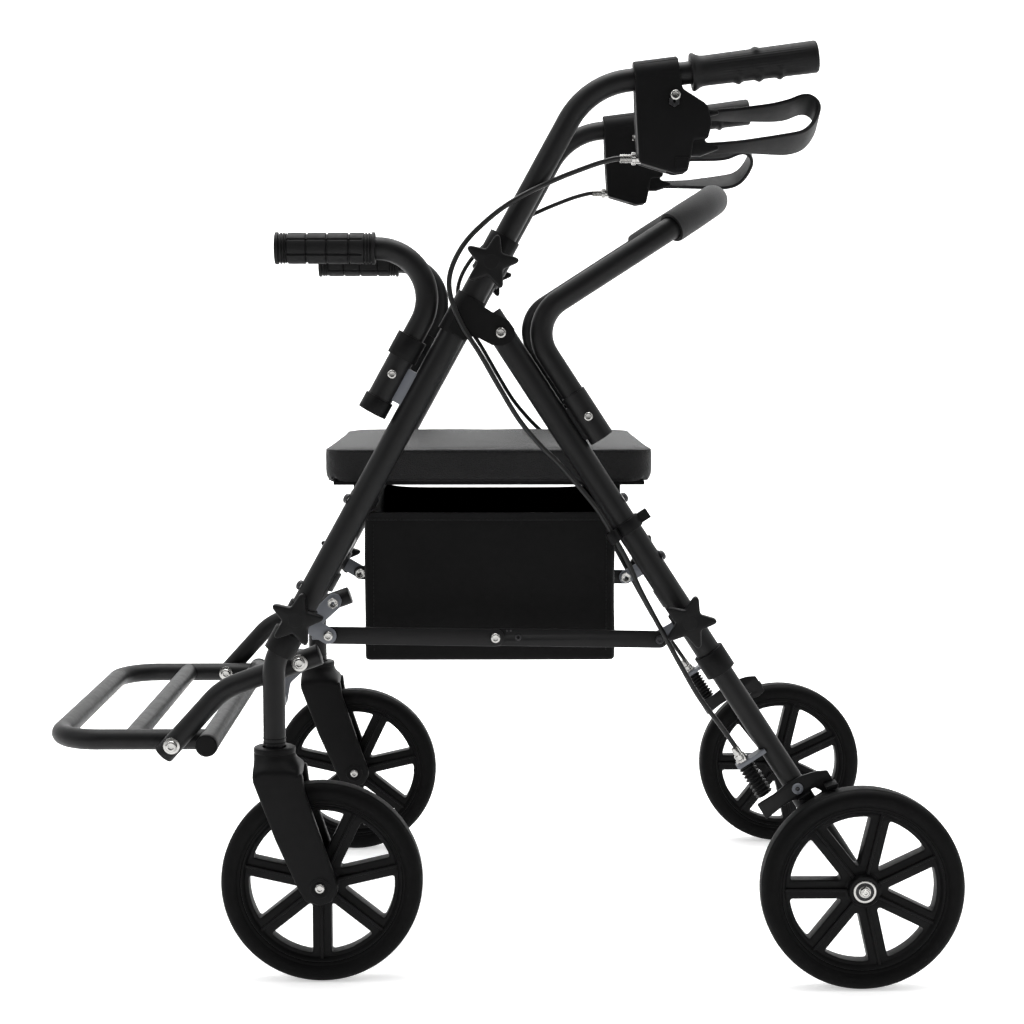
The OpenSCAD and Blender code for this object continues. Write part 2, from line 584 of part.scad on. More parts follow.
// ================= star knobs =================
module star_knob(turn = 14.2) {
  ycyl(4, -280, -263.4);
  ycyl(11, -290, -276.5);
  plate([for (k = [0:9]) let (a = 36 * k + 90 + turn, r = k % 2 == 0 ? 24 : 12) [r * cos(a), r * sin(a)]], -288, -277);
}
module at_handle_knob() on_front() translate([0, 0, s_handle_knob]) children();
module at_front_knob() on_front() translate([0, 0, s_front_knob]) children();
module at_rear_knob() on_rear() translate([0, 0, r_knob]) children();
module handle_knob_left() color(plastic) at_handle_knob() star_knob();
module handle_knob_right() color(plastic) right() at_handle_knob() star_knob();
module front_knob_left() color(plastic) at_front_knob() star_knob();
module front_knob_right() color(plastic) right() at_front_knob() star_knob();
module rear_knob_left() color(plastic) at_rear_knob() star_knob(24.2);
module rear_knob_right() color(plastic) right() at_rear_knob() star_knob(24.2);

// ================= brake cables =================
module brake_cables_upper() color(black) both() cable(route_upper, cable_r);
module brake_cables_middle() color(black) both() cable(route_middle, cable_r);
module brake_cables_lower() color(black) both() cable(route_lower, cable_r);

front_legs();
pivot_brackets();
pivot_bolts();
front_cross_tubes();
front_screws();
armrest_tubes();
armrest_sockets();
armrest_grips();
front_collars();
storage_bag();
front_link_brackets();
rear_legs();
rear_cross_tubes();
rear_leg_collars();
rear_screws();
rear_link_brackets();
backrest_tube();
backrest_foam();
backrest_sockets();
side_links_front();
side_links_rear();
seat_base();
seat_cushion();
handle_tube_left();
handle_tube_right();
hand_grip_left();
hand_grip_right();
brake_housing_left();
brake_housing_right();
brake_lever_left();
brake_lever_right();
brake_arm_left();
brake_arm_right();
brake_brackets();
brake_boots();
front_lower_legs();
footrest_brackets();
caster_fork_left();
caster_fork_right();
front_rim_left();
front_rim_right();
front_tyre_left();
front_tyre_right();
rear_rim_left();
rear_rim_right();
rear_tyre_left();
rear_tyre_right();
rear_lower_legs();
rear_axles();
footrest_arms();
footplate();
handle_knob_left();
handle_knob_right();
front_knob_left();
front_knob_right();
rear_knob_left();
rear_knob_right();
brake_cables_upper();
brake_cables_middle();
brake_cables_lower();
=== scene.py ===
import math
import bpy
import bmesh
import numpy as np
from mathutils import Vector, Matrix, noise
from mathutils.bvhtree import BVHTree
from mathutils.geometry import tessellate_polygon


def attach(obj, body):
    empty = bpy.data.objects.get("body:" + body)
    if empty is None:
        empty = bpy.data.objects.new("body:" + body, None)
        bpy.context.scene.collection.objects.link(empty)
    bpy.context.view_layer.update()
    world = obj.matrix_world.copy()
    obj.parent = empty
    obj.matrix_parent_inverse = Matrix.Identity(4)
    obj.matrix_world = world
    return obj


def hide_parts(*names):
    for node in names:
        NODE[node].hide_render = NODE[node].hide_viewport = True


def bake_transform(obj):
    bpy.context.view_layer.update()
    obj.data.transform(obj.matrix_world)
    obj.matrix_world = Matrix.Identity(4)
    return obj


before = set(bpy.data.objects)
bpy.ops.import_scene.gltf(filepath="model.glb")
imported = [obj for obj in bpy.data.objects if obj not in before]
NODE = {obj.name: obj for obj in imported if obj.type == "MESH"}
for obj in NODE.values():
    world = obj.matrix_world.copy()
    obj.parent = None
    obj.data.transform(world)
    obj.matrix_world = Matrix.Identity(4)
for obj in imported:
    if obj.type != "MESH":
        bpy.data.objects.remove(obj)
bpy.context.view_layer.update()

scene = bpy.context.scene
SIDES = (("left", False), ("right", True))
PI = math.pi

# ------------------------------------------------------------------ camera
cam_data = bpy.data.cameras.new("camera")
cam_data.sensor_width = 36.0
cam_data.lens = 70.144
cam_data.clip_end = 60
cam = bpy.data.objects.new("camera", cam_data)
scene.collection.objects.link(cam)
cam.location = (-0.0073, -2.1965, 0.6504)
_yaw, _pitch = 0.0119, 0.0938
_fwd = Vector((math.sin(_yaw) * math.cos(_pitch), math.cos(_yaw) * math.cos(_pitch), -math.sin(_pitch)))
cam.rotation_euler = _fwd.to_track_quat("-Z", "Y").to_euler()
scene.camera = cam

# ------------------------------------------------------------------ frames of the leaning tubes, in mm
FL = math.radians(28.8)
FX, FZ = -181.9, 386.7
PVX = FX + 40.6 * math.cos(FL) + 313.9 * math.sin(FL)
PVZ = FZ - 40.6 * math.sin(FL) + 313.9 * math.cos(FL)
RX, AZ = 359.0, 100.0
RL = math.atan2(RX - PVX, PVZ - AZ)
HA = FL + math.radians(53.98)


def front(n, s, y=0.0):
    return np.array([FX + n * math.cos(FL) + s * math.sin(FL), y, FZ - n * math.sin(FL) + s * math.cos(FL)])


def rear(o, s, y=0.0):
    return np.array([RX + o * math.cos(RL) - s * math.sin(RL), y, AZ + o * math.sin(RL) + s * math.cos(RL)])


HO = front(0, 561.4)


def hand(n, s, y=0.0):
    return np.array([HO[0] + n * math.cos(HA) + s * math.sin(HA), y, HO[2] - n * math.sin(HA) + s * math.cos(HA)])


UF, NF = front(0, 1) - front(0, 0), front(1, 0) - front(0, 0)
UR, NR = rear(0, 1) - rear(0, 0), rear(1, 0) - rear(0, 0)
UH, NH = hand(0, 1) - hand(0, 0), hand(1, 0) - hand(0, 0)
X, Y, Z = np.eye(3)
LEG_Y = 252.0


# ------------------------------------------------------------------ materials
def new_mat(name):
    m = bpy.data.materials.new(name)
    m.use_nodes = True
    nt = m.node_tree
    nt.nodes.clear()
    out = nt.nodes.new("ShaderNodeOutputMaterial")
    b = nt.nodes.new("ShaderNodeBsdfPrincipled")
    nt.links.new(b.outputs[0], out.inputs[0])
    return m, nt, b


def coords(nt, kind="Object", scale=None):
    tc = nt.nodes.new("ShaderNodeTexCoord")
    if scale is None:
        return tc.outputs[kind]
    mp = nt.nodes.new("ShaderNodeMapping")
    mp.inputs["Scale"].default_value = scale
    nt.links.new(tc.outputs[kind], mp.inputs["Vector"])
    return mp.outputs[0]


def noise_tex(nt, vec, scale, detail=4.0, rough=0.55):
    n = nt.nodes.new("ShaderNodeTexNoise")
    n.inputs["Scale"].default_value = scale
    n.inputs["Detail"].default_value = detail
    n.inputs["Roughness"].default_value = rough
    nt.links.new(vec, n.inputs["Vector"])
    return n.outputs["Fac"]


def ramp(nt, fac, lo, hi, a=0.3, b=0.7):
    r = nt.nodes.new("ShaderNodeValToRGB")
    r.color_ramp.elements[0].position = a
    r.color_ramp.elements[1].position = b
    r.color_ramp.elements[0].color = (*lo, 1)
    r.color_ramp.elements[1].color = (*hi, 1)
    nt.links.new(fac, r.inputs["Fac"])
    return r.outputs["Color"]


def span(nt, fac, lo, hi, a=0.25, b=0.75):
    m = nt.nodes.new("ShaderNodeMapRange")
    m.inputs["From Min"].default_value = a
    m.inputs["From Max"].default_value = b
    m.inputs["To Min"].default_value = lo
    m.inputs["To Max"].default_value = hi
    nt.links.new(fac, m.inputs["Value"])
    return m.outputs["Result"]


def math_node(nt, op, a, b=None):
    m = nt.nodes.new("ShaderNodeMath")
    m.operation = op
    for i, x in enumerate((a, b)):
        if x is None:
            continue
        if isinstance(x, (int, float)):
            m.inputs[i].default_value = x
        else:
            nt.links.new(x, m.inputs[i])
    return m.outputs[0]


def bump(nt, b, height, strength, dist, prev=None):
    n = nt.nodes.new("ShaderNodeBump")
    n.inputs["Strength"].default_value = strength
    n.inputs["Distance"].default_value = dist
    nt.links.new(height, n.inputs["Height"])
    if prev is not None:
        nt.links.new(prev, n.inputs["Normal"])
    nt.links.new(n.outputs[0], b.inputs["Normal"])
    return n.outputs[0]


def finish(name, c, var, rough, rough_var, spec, grain, grain_strength, grain_mm, metal=0.0, wide=22.0, patch=None):
    """Hard finish: broad colour drift, roughness drift, fine surface grain and faint scuffs."""
    m, nt, b = new_mat(name)
    vec = coords(nt)
    big = noise_tex(nt, vec, wide, 3.0)
    lo = tuple(x * (1 - var) for x in c)
    hi = tuple(x * (1 + var) for x in c)
    col = ramp(nt, big, lo, hi)
    nt.links.new(col, b.inputs["Base Color"])
    mid = noise_tex(nt, vec, wide * 7, 5.0, 0.65)
    nt.links.new(span(nt, mid, rough - rough_var, rough + rough_var), b.inputs["Roughness"])
    b.inputs["Metallic"].default_value = metal
    b.inputs["Specular IOR Level"].default_value = spec
    fine = noise_tex(nt, vec, grain, 2.0)
    prev = bump(nt, b, fine, grain_strength, grain_mm / 1000)
    if patch:
        soft = noise_tex(nt, vec, patch[0], 2.0)
        bump(nt, b, soft, patch[1], patch[2] / 1000, prev)
    return m


M_COAT = finish("powder_coat_black", (0.0042, 0.0042, 0.0045), 0.18, 0.47, 0.06, 0.20, 1900, 0.10, 0.25, wide=14, patch=(320, 0.05, 0.3))
M_PLASTIC = finish("moulded_plastic_black", (0.0022, 0.0022, 0.0024), 0.2, 0.52, 0.06, 0.12, 1500, 0.22, 0.3, wide=18)
M_KNOB = finish("knob_plastic", (0.0026, 0.0026, 0.0028), 0.2, 0.48, 0.06, 0.17, 1300, 0.16, 0.3, wide=20)
M_STEEL = finish("zinc_steel", (0.44, 0.435, 0.42), 0.12, 0.24, 0.06, 0.5, 900, 0.12, 0.15, metal=1.0, wide=60)
M_NUT = finish("dark_oxide_steel", (0.03, 0.03, 0.032), 0.2, 0.4, 0.08, 0.5, 900, 0.12, 0.15, metal=0.6, wide=60)
M_GREY = finish("grey_coated_steel", (0.115, 0.122, 0.138), 0.10, 0.46, 0.07, 0.45, 1400, 0.12, 0.2, wide=30)
M_HOUSING = finish("housing_plastic", (0.0034, 0.0034, 0.0036), 0.2, 0.60, 0.06, 0.10, 1300, 0.18, 0.3, wide=20)
M_LEVER = finish("lever_coat", (0.0040, 0.0040, 0.0043), 0.16, 0.48, 0.06, 0.17, 1600, 0.14, 0.25, wide=20)
M_RUBBER = finish("grip_rubber", (0.0029, 0.0029, 0.0031), 0.22, 0.58, 0.08, 0.20, 1100, 0.25, 0.35, wide=26)
M_TYRE = finish("tyre_rubber", (0.0016, 0.0016, 0.0017), 0.25, 0.62, 0.08, 0.09, 900, 0.28, 0.4, wide=16)
M_CABLE = finish("cable_sleeve", (0.0046, 0.0046, 0.0048), 0.15, 0.38, 0.06, 0.30, 700, 0.06, 0.2, wide=30)
M_THREAD = finish("sewing_thread", (0.009, 0.009, 0.0094), 0.2, 0.7, 0.08, 0.2, 2500, 0.3, 0.2, wide=90)


def leatherette():
    m, nt, b = new_mat("synthetic_leather")
    vec = coords(nt)
    big = noise_tex(nt, vec, 16, 3.0)
    col = ramp(nt, big, (0.0052, 0.0052, 0.0056), (0.0082, 0.0082, 0.0087))
    nt.links.new(col, b.inputs["Base Color"])
    warp = nt.nodes.new("ShaderNodeTexNoise")
    warp.inputs["Scale"].default_value = 240
    nt.links.new(vec, warp.inputs["Vector"])
    mix = nt.nodes.new("ShaderNodeVectorMath")
    mix.operation = "MULTIPLY_ADD"
    nt.links.new(warp.outputs["Color"], mix.inputs[0])
    mix.inputs[1].default_value = (0.0016, 0.0016, 0.0016)
    nt.links.new(vec, mix.inputs[2])
    cells = nt.nodes.new("ShaderNodeTexVoronoi")
    cells.feature = "DISTANCE_TO_EDGE"
    cells.inputs["Scale"].default_value = 520
    nt.links.new(mix.outputs[0], cells.inputs["Vector"])
    pebble = span(nt, cells.outputs["Distance"], 0.0, 1.0, 0.0, 0.22)
    fine = noise_tex(nt, vec, 1400, 2.0)
    grain = math_node(nt, "ADD", pebble, math_node(nt, "MULTIPLY", fine, 0.35))
    nt.links.new(span(nt, grain, 0.62, 0.44, 0.1, 1.2), b.inputs["Roughness"])
    b.inputs["Specular IOR Level"].default_value = 0.22
    prev = bump(nt, b, grain, 0.75, 0.00045)
    bump(nt, b, noise_tex(nt, vec, 70, 2.0), 0.10, 0.0008, prev)
    return m


def weave(name, dark, light, per_m, rough, strength, band=None):
    """Plain weave from the piece's own UV layer, which is in metres."""
    m, nt, b = new_mat(name)
    uv = coords(nt, "UV")
    sep = nt.nodes.new("ShaderNodeSeparateXYZ")
    nt.links.new(uv, sep.inputs[0])
    k = per_m * 2 * PI
    su = math_node(nt, "SINE", math_node(nt, "MULTIPLY", sep.outputs["X"], k))
    sv = math_node(nt, "SINE", math_node(nt, "MULTIPLY", sep.outputs["Y"], k))
    cu = math_node(nt, "SINE", math_node(nt, "MULTIPLY", sep.outputs["X"], k / 2))
    cv = math_node(nt, "SINE", math_node(nt, "MULTIPLY", sep.outputs["Y"], k / 2))
    checker = math_node(nt, "MULTIPLY", cu, cv)
    warp_on_top = math_node(nt, "GREATER_THAN", checker, 0.0)
    au = math_node(nt, "ABSOLUTE", su)
    av = math_node(nt, "ABSOLUTE", sv)
    mixn = nt.nodes.new("ShaderNodeMix")
    mixn.data_type = "FLOAT"
    nt.links.new(warp_on_top, mixn.inputs[0])
    nt.links.new(au, mixn.inputs[2])
    nt.links.new(av, mixn.inputs[3])
    yarn = mixn.outputs[0]
    vec = coords(nt)
    drift = noise_tex(nt, vec, 20, 4.0)
    lum = math_node(nt, "ADD", math_node(nt, "MULTIPLY", yarn, 0.55), math_node(nt, "MULTIPLY", drift, 0.5))
    if band:
        # doubled, darker cloth below this height
        high = nt.nodes.new("ShaderNodeSeparateXYZ")
        nt.links.new(vec, high.inputs[0])
        lum = math_node(nt, "MULTIPLY", lum, span(nt, high.outputs["Z"], band[2], 1.0, band[0], band[1]))
    nt.links.new(ramp(nt, lum, dark, light, 0.15, 0.95), b.inputs["Base Color"])
    nt.links.new(span(nt, yarn, rough + 0.1, rough - 0.06, 0.0, 1.0), b.inputs["Roughness"])
    b.inputs["Specular IOR Level"].default_value = 0.12
    b.inputs["Sheen Weight"].default_value = 0.02
    b.inputs["Sheen Roughness"].default_value = 0.5
    prev = bump(nt, b, yarn, strength, 0.00035)
    bump(nt, b, noise_tex(nt, vec, 45, 3.0), 0.12, 0.0015, prev)
    return m


def foam_mat():
    m, nt, b = new_mat("closed_cell_foam")
    vec = coords(nt)
    big = noise_tex(nt, vec, 30, 4.0)
    nt.links.new(ramp(nt, big, (0.0140, 0.0140, 0.0146), (0.0210, 0.0210, 0.0218)), b.inputs["Base Color"])
    pores = nt.nodes.new("ShaderNodeTexVoronoi")
    pores.inputs["Scale"].default_value = 900
    nt.links.new(vec, pores.inputs["Vector"])
    fine = noise_tex(nt, vec, 1600, 3.0)
    h = math_node(nt, "ADD", pores.outputs["Distance"], math_node(nt, "MULTIPLY", fine, 0.5))
    nt.links.new(span(nt, fine, 0.72, 0.86), b.inputs["Roughness"])
    b.inputs["Specular IOR Level"].default_value = 0.25
    b.inputs["Sheen Weight"].default_value = 0.10
    b.inputs["Sheen Roughness"].default_value = 0.6
    bump(nt, b, h, 0.3, 0.0004)
    return m


M_LEATHER = leatherette()
M_BAG = weave("bag_oxford_cloth", (0.0013, 0.0013, 0.0014), (0.0042, 0.0042, 0.0044), 620, 0.62, 0.5, (0.366, 0.382, 0.35))
M_HEM = weave("bag_binding_tape", (0.0026, 0.0026, 0.0028), (0.0072, 0.0072, 0.0076), 900, 0.6, 0.5)
M_FOAM = foam_mat()


# ------------------------------------------------------------------ mesh tools, everything in mm until build()
class Part:
    def __init__(self):
        self.v, self.f, self.uv = [], [], []

    def add(self, vf, flip=False):
        v, f = vf[0], vf[1]
        base = sum(len(x) for x in self.v)
        self.v.append(np.asarray(v, float))
        self.f += [tuple(base + i for i in (q[::-1] if flip else q)) for q in f]
        return self

    def get(self):
        return np.vstack(self.v), self.f


def link(o):
    scene.collection.objects.link(o)
    return o


def mesh_obj(name, verts, faces, mat, mirror=False, angle=38.0, fix=True):
    v = np.asarray(verts, float) / 1000.0
    if mirror:
        v = v * np.array([1, -1, 1])
        faces = [tuple(q[::-1]) for q in faces]
    me = bpy.data.meshes.new(name)
    me.from_pydata(v.tolist(), [], [list(map(int, q)) for q in faces])
    me.update()
    if fix:
        bm = bmesh.new()
        bm.from_mesh(me)
        bmesh.ops.remove_doubles(bm, verts=bm.verts, dist=1e-6)
        bmesh.ops.dissolve_degenerate(bm, edges=bm.edges, dist=1e-7)
        bmesh.ops.recalc_face_normals(bm, faces=bm.faces)
        bm.to_mesh(me)
        bm.free()
    me.materials.append(mat)
    shade(me, angle)
    return link(bpy.data.objects.new(name, me))


def shade(me, angle=38.0):
    me.polygons.foreach_set("use_smooth", [True] * len(me.polygons))
    me.set_sharp_from_angle(angle=math.radians(angle))
    me.update()


def build(name, vf, mat, body, mirror=False, angle=38.0, replaces=()):
    o = mesh_obj(name, vf[0], vf[1], mat, mirror, angle)
    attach(o, body)
    if replaces:
        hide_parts(*replaces)
    return o


def unit(a):
    a = np.asarray(a, float)
    return a / np.linalg.norm(a)


def basis(axis, ref=None):
    w = unit(axis)
    r = np.asarray(ref if ref is not None else ([0, 0, 1] if abs(w[2]) < 0.9 else [1, 0, 0]), float)
    u = unit(r - w * (r @ w))
    return u, np.cross(w, u), w


def lathe(profile, origin, axis, segs=40, ref=None, rfun=None):
    """Profile is (radius, height along the axis); radius 0 closes an end."""
    u, v, w = basis(axis, ref)
    o = np.asarray(origin, float)
    verts, faces, rings = [], [], []
    for r, h in profile:
        if r <= 1e-6:
            rings.append([len(verts)])
            verts.append(o + w * h)
        else:
            ring = []
            for k in range(segs):
                t = 2 * PI * k / segs
                q = rfun(t, r, h) if rfun else r
                ring.append(len(verts))
                verts.append(o + w * h + q * (math.cos(t) * u + math.sin(t) * v))
            rings.append(ring)
    for a, b in zip(rings, rings[1:]):
        if len(a) == 1 and len(b) == 1:
            continue
        for k in range(segs):
            n = (k + 1) % segs
            if len(a) == 1:
                faces.append((a[0], b[k], b[n]))
            elif len(b) == 1:
                faces.append((a[k], a[n], b[0]))
            else:
                faces.append((a[k], a[n], b[n], b[k]))
    return np.array(verts), faces


def ring_profile(ri, ro, h0, h1, c=0.8, n=3):
    """Closed ring section with rounded outer edges, for lathe."""
    pts = [(ri, h0 + c * 0.4), (ri + c * 0.4, h0)]
    for k in range(n + 1):
        a = PI / 2 * k / n
        pts.append((ro - c + c * math.sin(a), h0 + c - c * math.cos(a)))
    for k in range(n + 1):
        a = PI / 2 * k / n
        pts.append((ro - c + c * math.cos(a), h1 - c + c * math.sin(a)))
    pts += [(ri + c * 0.4, h1), (ri, h1 - c * 0.4), (ri, h0 + c * 0.4)]
    return pts


def catmull(points, per=8, closed=False):
    p = np.asarray(points, float)
    n = len(p)
    out = []
    rng = range(n) if closed else range(n - 1)
    for i in rng:
        if closed:
            a, b, c, d = p[(i - 1) % n], p[i], p[(i + 1) % n], p[(i + 2) % n]
        else:
            a, b, c, d = p[max(i - 1, 0)], p[i], p[i + 1], p[min(i + 2, n - 1)]
        for k in range(per):
            t = k / per
            out.append(0.5 * (2 * b + (c - a) * t + (2 * a - 5 * b + 4 * c - d) * t * t + (3 * b - a - 3 * c + d) * t ** 3))
    if not closed:
        out.append(p[-1])
    return np.array(out)


def sweep(path, section, closed=False, caps=True, ref=None, fixed_up=None):
    """Sweeps a closed section [(u, v)] along a path; section may be a function of the ring's index."""
    p = np.asarray(path, float)
    n = len(p)
    if closed:
        t = np.array([unit(p[(i + 1) % n] - p[(i - 1) % n]) for i in range(n)])
    else:
        t = np.array([unit(p[min(i + 1, n - 1)] - p[max(i - 1, 0)]) for i in range(n)])
    u, _, _ = basis(t[0], ref)
    verts, faces = [], []
    m = None
    for i in range(n):
        if fixed_up is not None:
            u = unit(fixed_up - t[i] * (np.asarray(fixed_up) @ t[i]))
        else:
            u = unit(u - t[i] * (u @ t[i]))
        v = np.cross(t[i], u)
        sec = section(i) if callable(section) else section
        m = len(sec)
        for a, b in sec:
            verts.append(p[i] + a * u + b * v)
    rows = n if closed else n - 1
    for i in range(rows):
        j = (i + 1) % n
        for k in range(m):
            q = (k + 1) % m
            faces.append((i * m + k, i * m + q, j * m + q, j * m + k))
    if caps and not closed:
        faces.append(tuple(range(m))[::-1])
        faces.append(tuple((n - 1) * m + k for k in range(m)))
    return np.array(verts), faces


def circle(r, n=24):
    return [(r * math.cos(2 * PI * k / n), r * math.sin(2 * PI * k / n)) for k in range(n)]


def rounded(pts, rad, n=6):
    """Polygon with its corners rounded; rad is one number or one per corner."""
    p = [np.asarray(q, float) for q in pts]
    out = []
    for i in range(len(p)):
        a, b, c = p[i - 1], p[i], p[(i + 1) % len(p)]
        r = rad if isinstance(rad, (int, float)) else rad[i]
        d1, d2 = unit(a - b), unit(c - b)
        ang = math.acos(max(-1, min(1, d1 @ d2)))
        if r <= 0 or ang > PI - 0.02:
            out.append(b)
            continue
        cut = min(r / math.tan(ang / 2), 0.48 * np.linalg.norm(a - b), 0.48 * np.linalg.norm(c - b))
        q0, q1 = b + d1 * cut, b + d2 * cut
        for k in range(n + 1):
            s = k / n
            w = 1.0 / max(math.sin(ang / 2), 0.3)
            k1 = 2 * s * (1 - s) * math.sin(ang / 2) ** 0.5 * w ** 0.0
            den = (1 - s) ** 2 + k1 + s ** 2
            out.append(((1 - s) ** 2 * q0 + k1 * b + s ** 2 * q1) / den)
    return np.array(out)


def area2(p):
    x, y = p[:, 0], p[:, 1]
    return 0.5 * np.sum(x * np.roll(y, -1) - np.roll(x, -1) * y)


def inset_loop(p, d):
    """Moves a counter-clockwise loop inwards by d."""
    prev, nxt = np.roll(p, 1, 0), np.roll(p, -1, 0)
    e1, e2 = p - prev, nxt - p
    e1 /= np.maximum(np.linalg.norm(e1, axis=1, keepdims=True), 1e-9)
    e2 /= np.maximum(np.linalg.norm(e2, axis=1, keepdims=True), 1e-9)
    n1 = np.stack([-e1[:, 1], e1[:, 0]], 1)
    n2 = np.stack([-e2[:, 1], e2[:, 0]], 1)
    n = n1 + n2
    k = np.maximum(1 + np.sum(n1 * n2, 1), 0.35)[:, None]
    return p + d * n / k


def slab(outer, w0, w1, bevel=1.0, res=3, holes=(), place=None):
    """Bevelled plate: outlines in (u, v), thickness from w0 to w1. place maps (u, v, w) arrays to points."""
    loops = []
    for i, loop in enumerate([outer, *holes]):
        p = np.asarray(loop, float)
        if (area2(p) < 0) == (i == 0):
            p = p[::-1].copy()
        loops.append(p)
    bevel = min(bevel, (w1 - w0) / 2 * 0.98)
    steps = []
    for k in range(res + 1):
        a = PI / 2 * k / res
        steps.append((bevel * (1 - math.sin(a)), w0 + bevel * (1 - math.cos(a))))
    for k in range(res + 1):
        a = PI / 2 * k / res
        steps.append((bevel * (1 - math.cos(a)), w1 - bevel * (1 - math.sin(a))))
    verts, faces, lows, highs = [], [], [], []
    for p in loops:
        m = len(p)
        first = len(verts)
        for d, w in steps:
            q = inset_loop(p, d)
            verts += [(x, y, w) for x, y in q]
        for r in range(len(steps) - 1):
            for k in range(m):
                n = (k + 1) % m
                a = first + r * m
                faces.append((a + k, a + n, a + m + n, a + m + k))
        lows.append(list(range(first, first + m)))
        highs.append(list(range(first + (len(steps) - 1) * m, first + len(steps) * m)))
    for group, flip in ((lows, True), (highs, False)):
        polys = [[Vector((verts[i][0], verts[i][1], 0)) for i in g] for g in group]
        flat = [i for g in group for i in g]
        for tri in tessellate_polygon(polys):
            q = tuple(flat[i] for i in tri)
            faces.append(q[::-1] if flip else q)
    v = np.array(verts)
    if place is not None:
        v = place(v[:, 0], v[:, 1], v[:, 2])
    return v, faces


def xz(x, z, y):
    return np.stack([x, y, z], 1)


def on_front(n, s, y):
    return np.stack([FX + n * math.cos(FL) + s * math.sin(FL), y, FZ - n * math.sin(FL) + s * math.cos(FL)], 1)


def on_rear(o, s, y):
    return np.stack([RX + o * math.cos(RL) - s * math.sin(RL), y, AZ + o * math.sin(RL) + s * math.cos(RL)], 1)


def button_head(centre, axis, r, h, segs=36):
    """Domed socket-head screw, with its hexagon recess."""
    def f(t, q, hh):
        if q < 0.56 * r:
            a = (t % (PI / 3)) - PI / 6
            return q * math.cos(PI / 6) / math.cos(a)
        return q
    prof = [(0, 0), (r * 0.9, 0), (r, h * 0.12), (r, h * 0.3)]
    for k in range(1, 6):
        a = PI / 2 * k / 6
        prof.append((r * (0.62 + 0.38 * math.cos(a)), h * (0.3 + 0.7 * math.sin(a))))
    prof += [(r * 0.58, h), (r * 0.55, h * 0.97), (r * 0.52, h * 0.45), (0, h * 0.4)]
    return lathe(prof, centre, axis, segs, rfun=f)


def hex_nut(centre, axis, r, h, bore=0.5):
    def f(t, q, hh):
        if q > r * 0.7:
            a = (t % (PI / 3)) - PI / 6
            return min(q, r * math.cos(PI / 6) / math.cos(a)) if q >= r * 0.99 else q
        return q
    prof = [(r * bore, h * 0.1), (r * (bore + 0.1), 0), (r * 0.86, 0), (r, h * 0.12), (r, h * 0.88), (r * 0.86, h), (r * (bore + 0.1), h), (r * bore, h * 0.9), (r * bore, h * 0.1)]
    return lathe(prof, centre, axis, 48, rfun=f)


def washer(centre, axis, r, h, ri):
    return lathe(ring_profile(ri, r, 0, h, min(0.4, h * 0.3), 2), centre, axis, 40)


# ------------------------------------------------------------------ CAD nodes that stay: finish and softened edges
def dress(node, mat, edge=0.0, angle=32.0):
    o = NODE[node]
    o.data.materials.clear()
    o.data.materials.append(mat)
    if edge:
        w = o.modifiers.new("weld", "WELD")
        w.merge_threshold = 1e-6
        b = o.modifiers.new("edge", "BEVEL")
        b.width = edge / 1000
        b.segments = 2
        b.limit_method = "ANGLE"
        b.angle_limit = math.radians(angle)
        b.harden_normals = True
        b.use_clamp_overlap = True


for n in ("front_legs", "front_cross_tubes", "rear_legs", "rear_cross_tubes", "armrest_tubes", "backrest_tube",
          "handle_tube_left", "handle_tube_right", "front_lower_legs", "rear_lower_legs", "footplate",
          "backrest_sockets", "armrest_sockets"):
    dress(n, M_COAT)
for n in ("pivot_brackets", "front_collars", "rear_leg_collars", "seat_base"):
    dress(n, M_PLASTIC, 0.8)

# ------------------------------------------------------------------ wheels
TYRE_HW = 16.0


def window_outline(phase, n=7, half=9.4, r_in=24.0, r_out=72.2):
    step = 2 * PI / n
    a0, a1 = phase, phase + step
    d0, d1 = np.array([math.cos(a0), math.sin(a0)]), np.array([math.cos(a1), math.sin(a1)])
    n0, n1 = np.array([-d0[1], d0[0]]), np.array([d1[1], -d1[0]])
    mid = unit(d0 + d1)
    tip = mid * (half / math.sin(step / 2))
    l = math.sqrt(r_out ** 2 - half ** 2)
    c0, c1 = d0 * l + n0 * half, d1 * l + n1 * half
    b0, b1 = math.atan2(c0[1], c0[0]), math.atan2(c1[1], c1[0])
    while b1 < b0:
        b1 += 2 * PI
    arc = [np.array([math.cos(b), math.sin(b)]) * r_out for b in np.linspace(b0, b1, 9)[1:-1]]
    pts = [tip, c0, *arc, c1]
    rad = [2.6, 4.4, *([0.0] * len(arc)), 4.4]
    return rounded(pts, rad, 7)


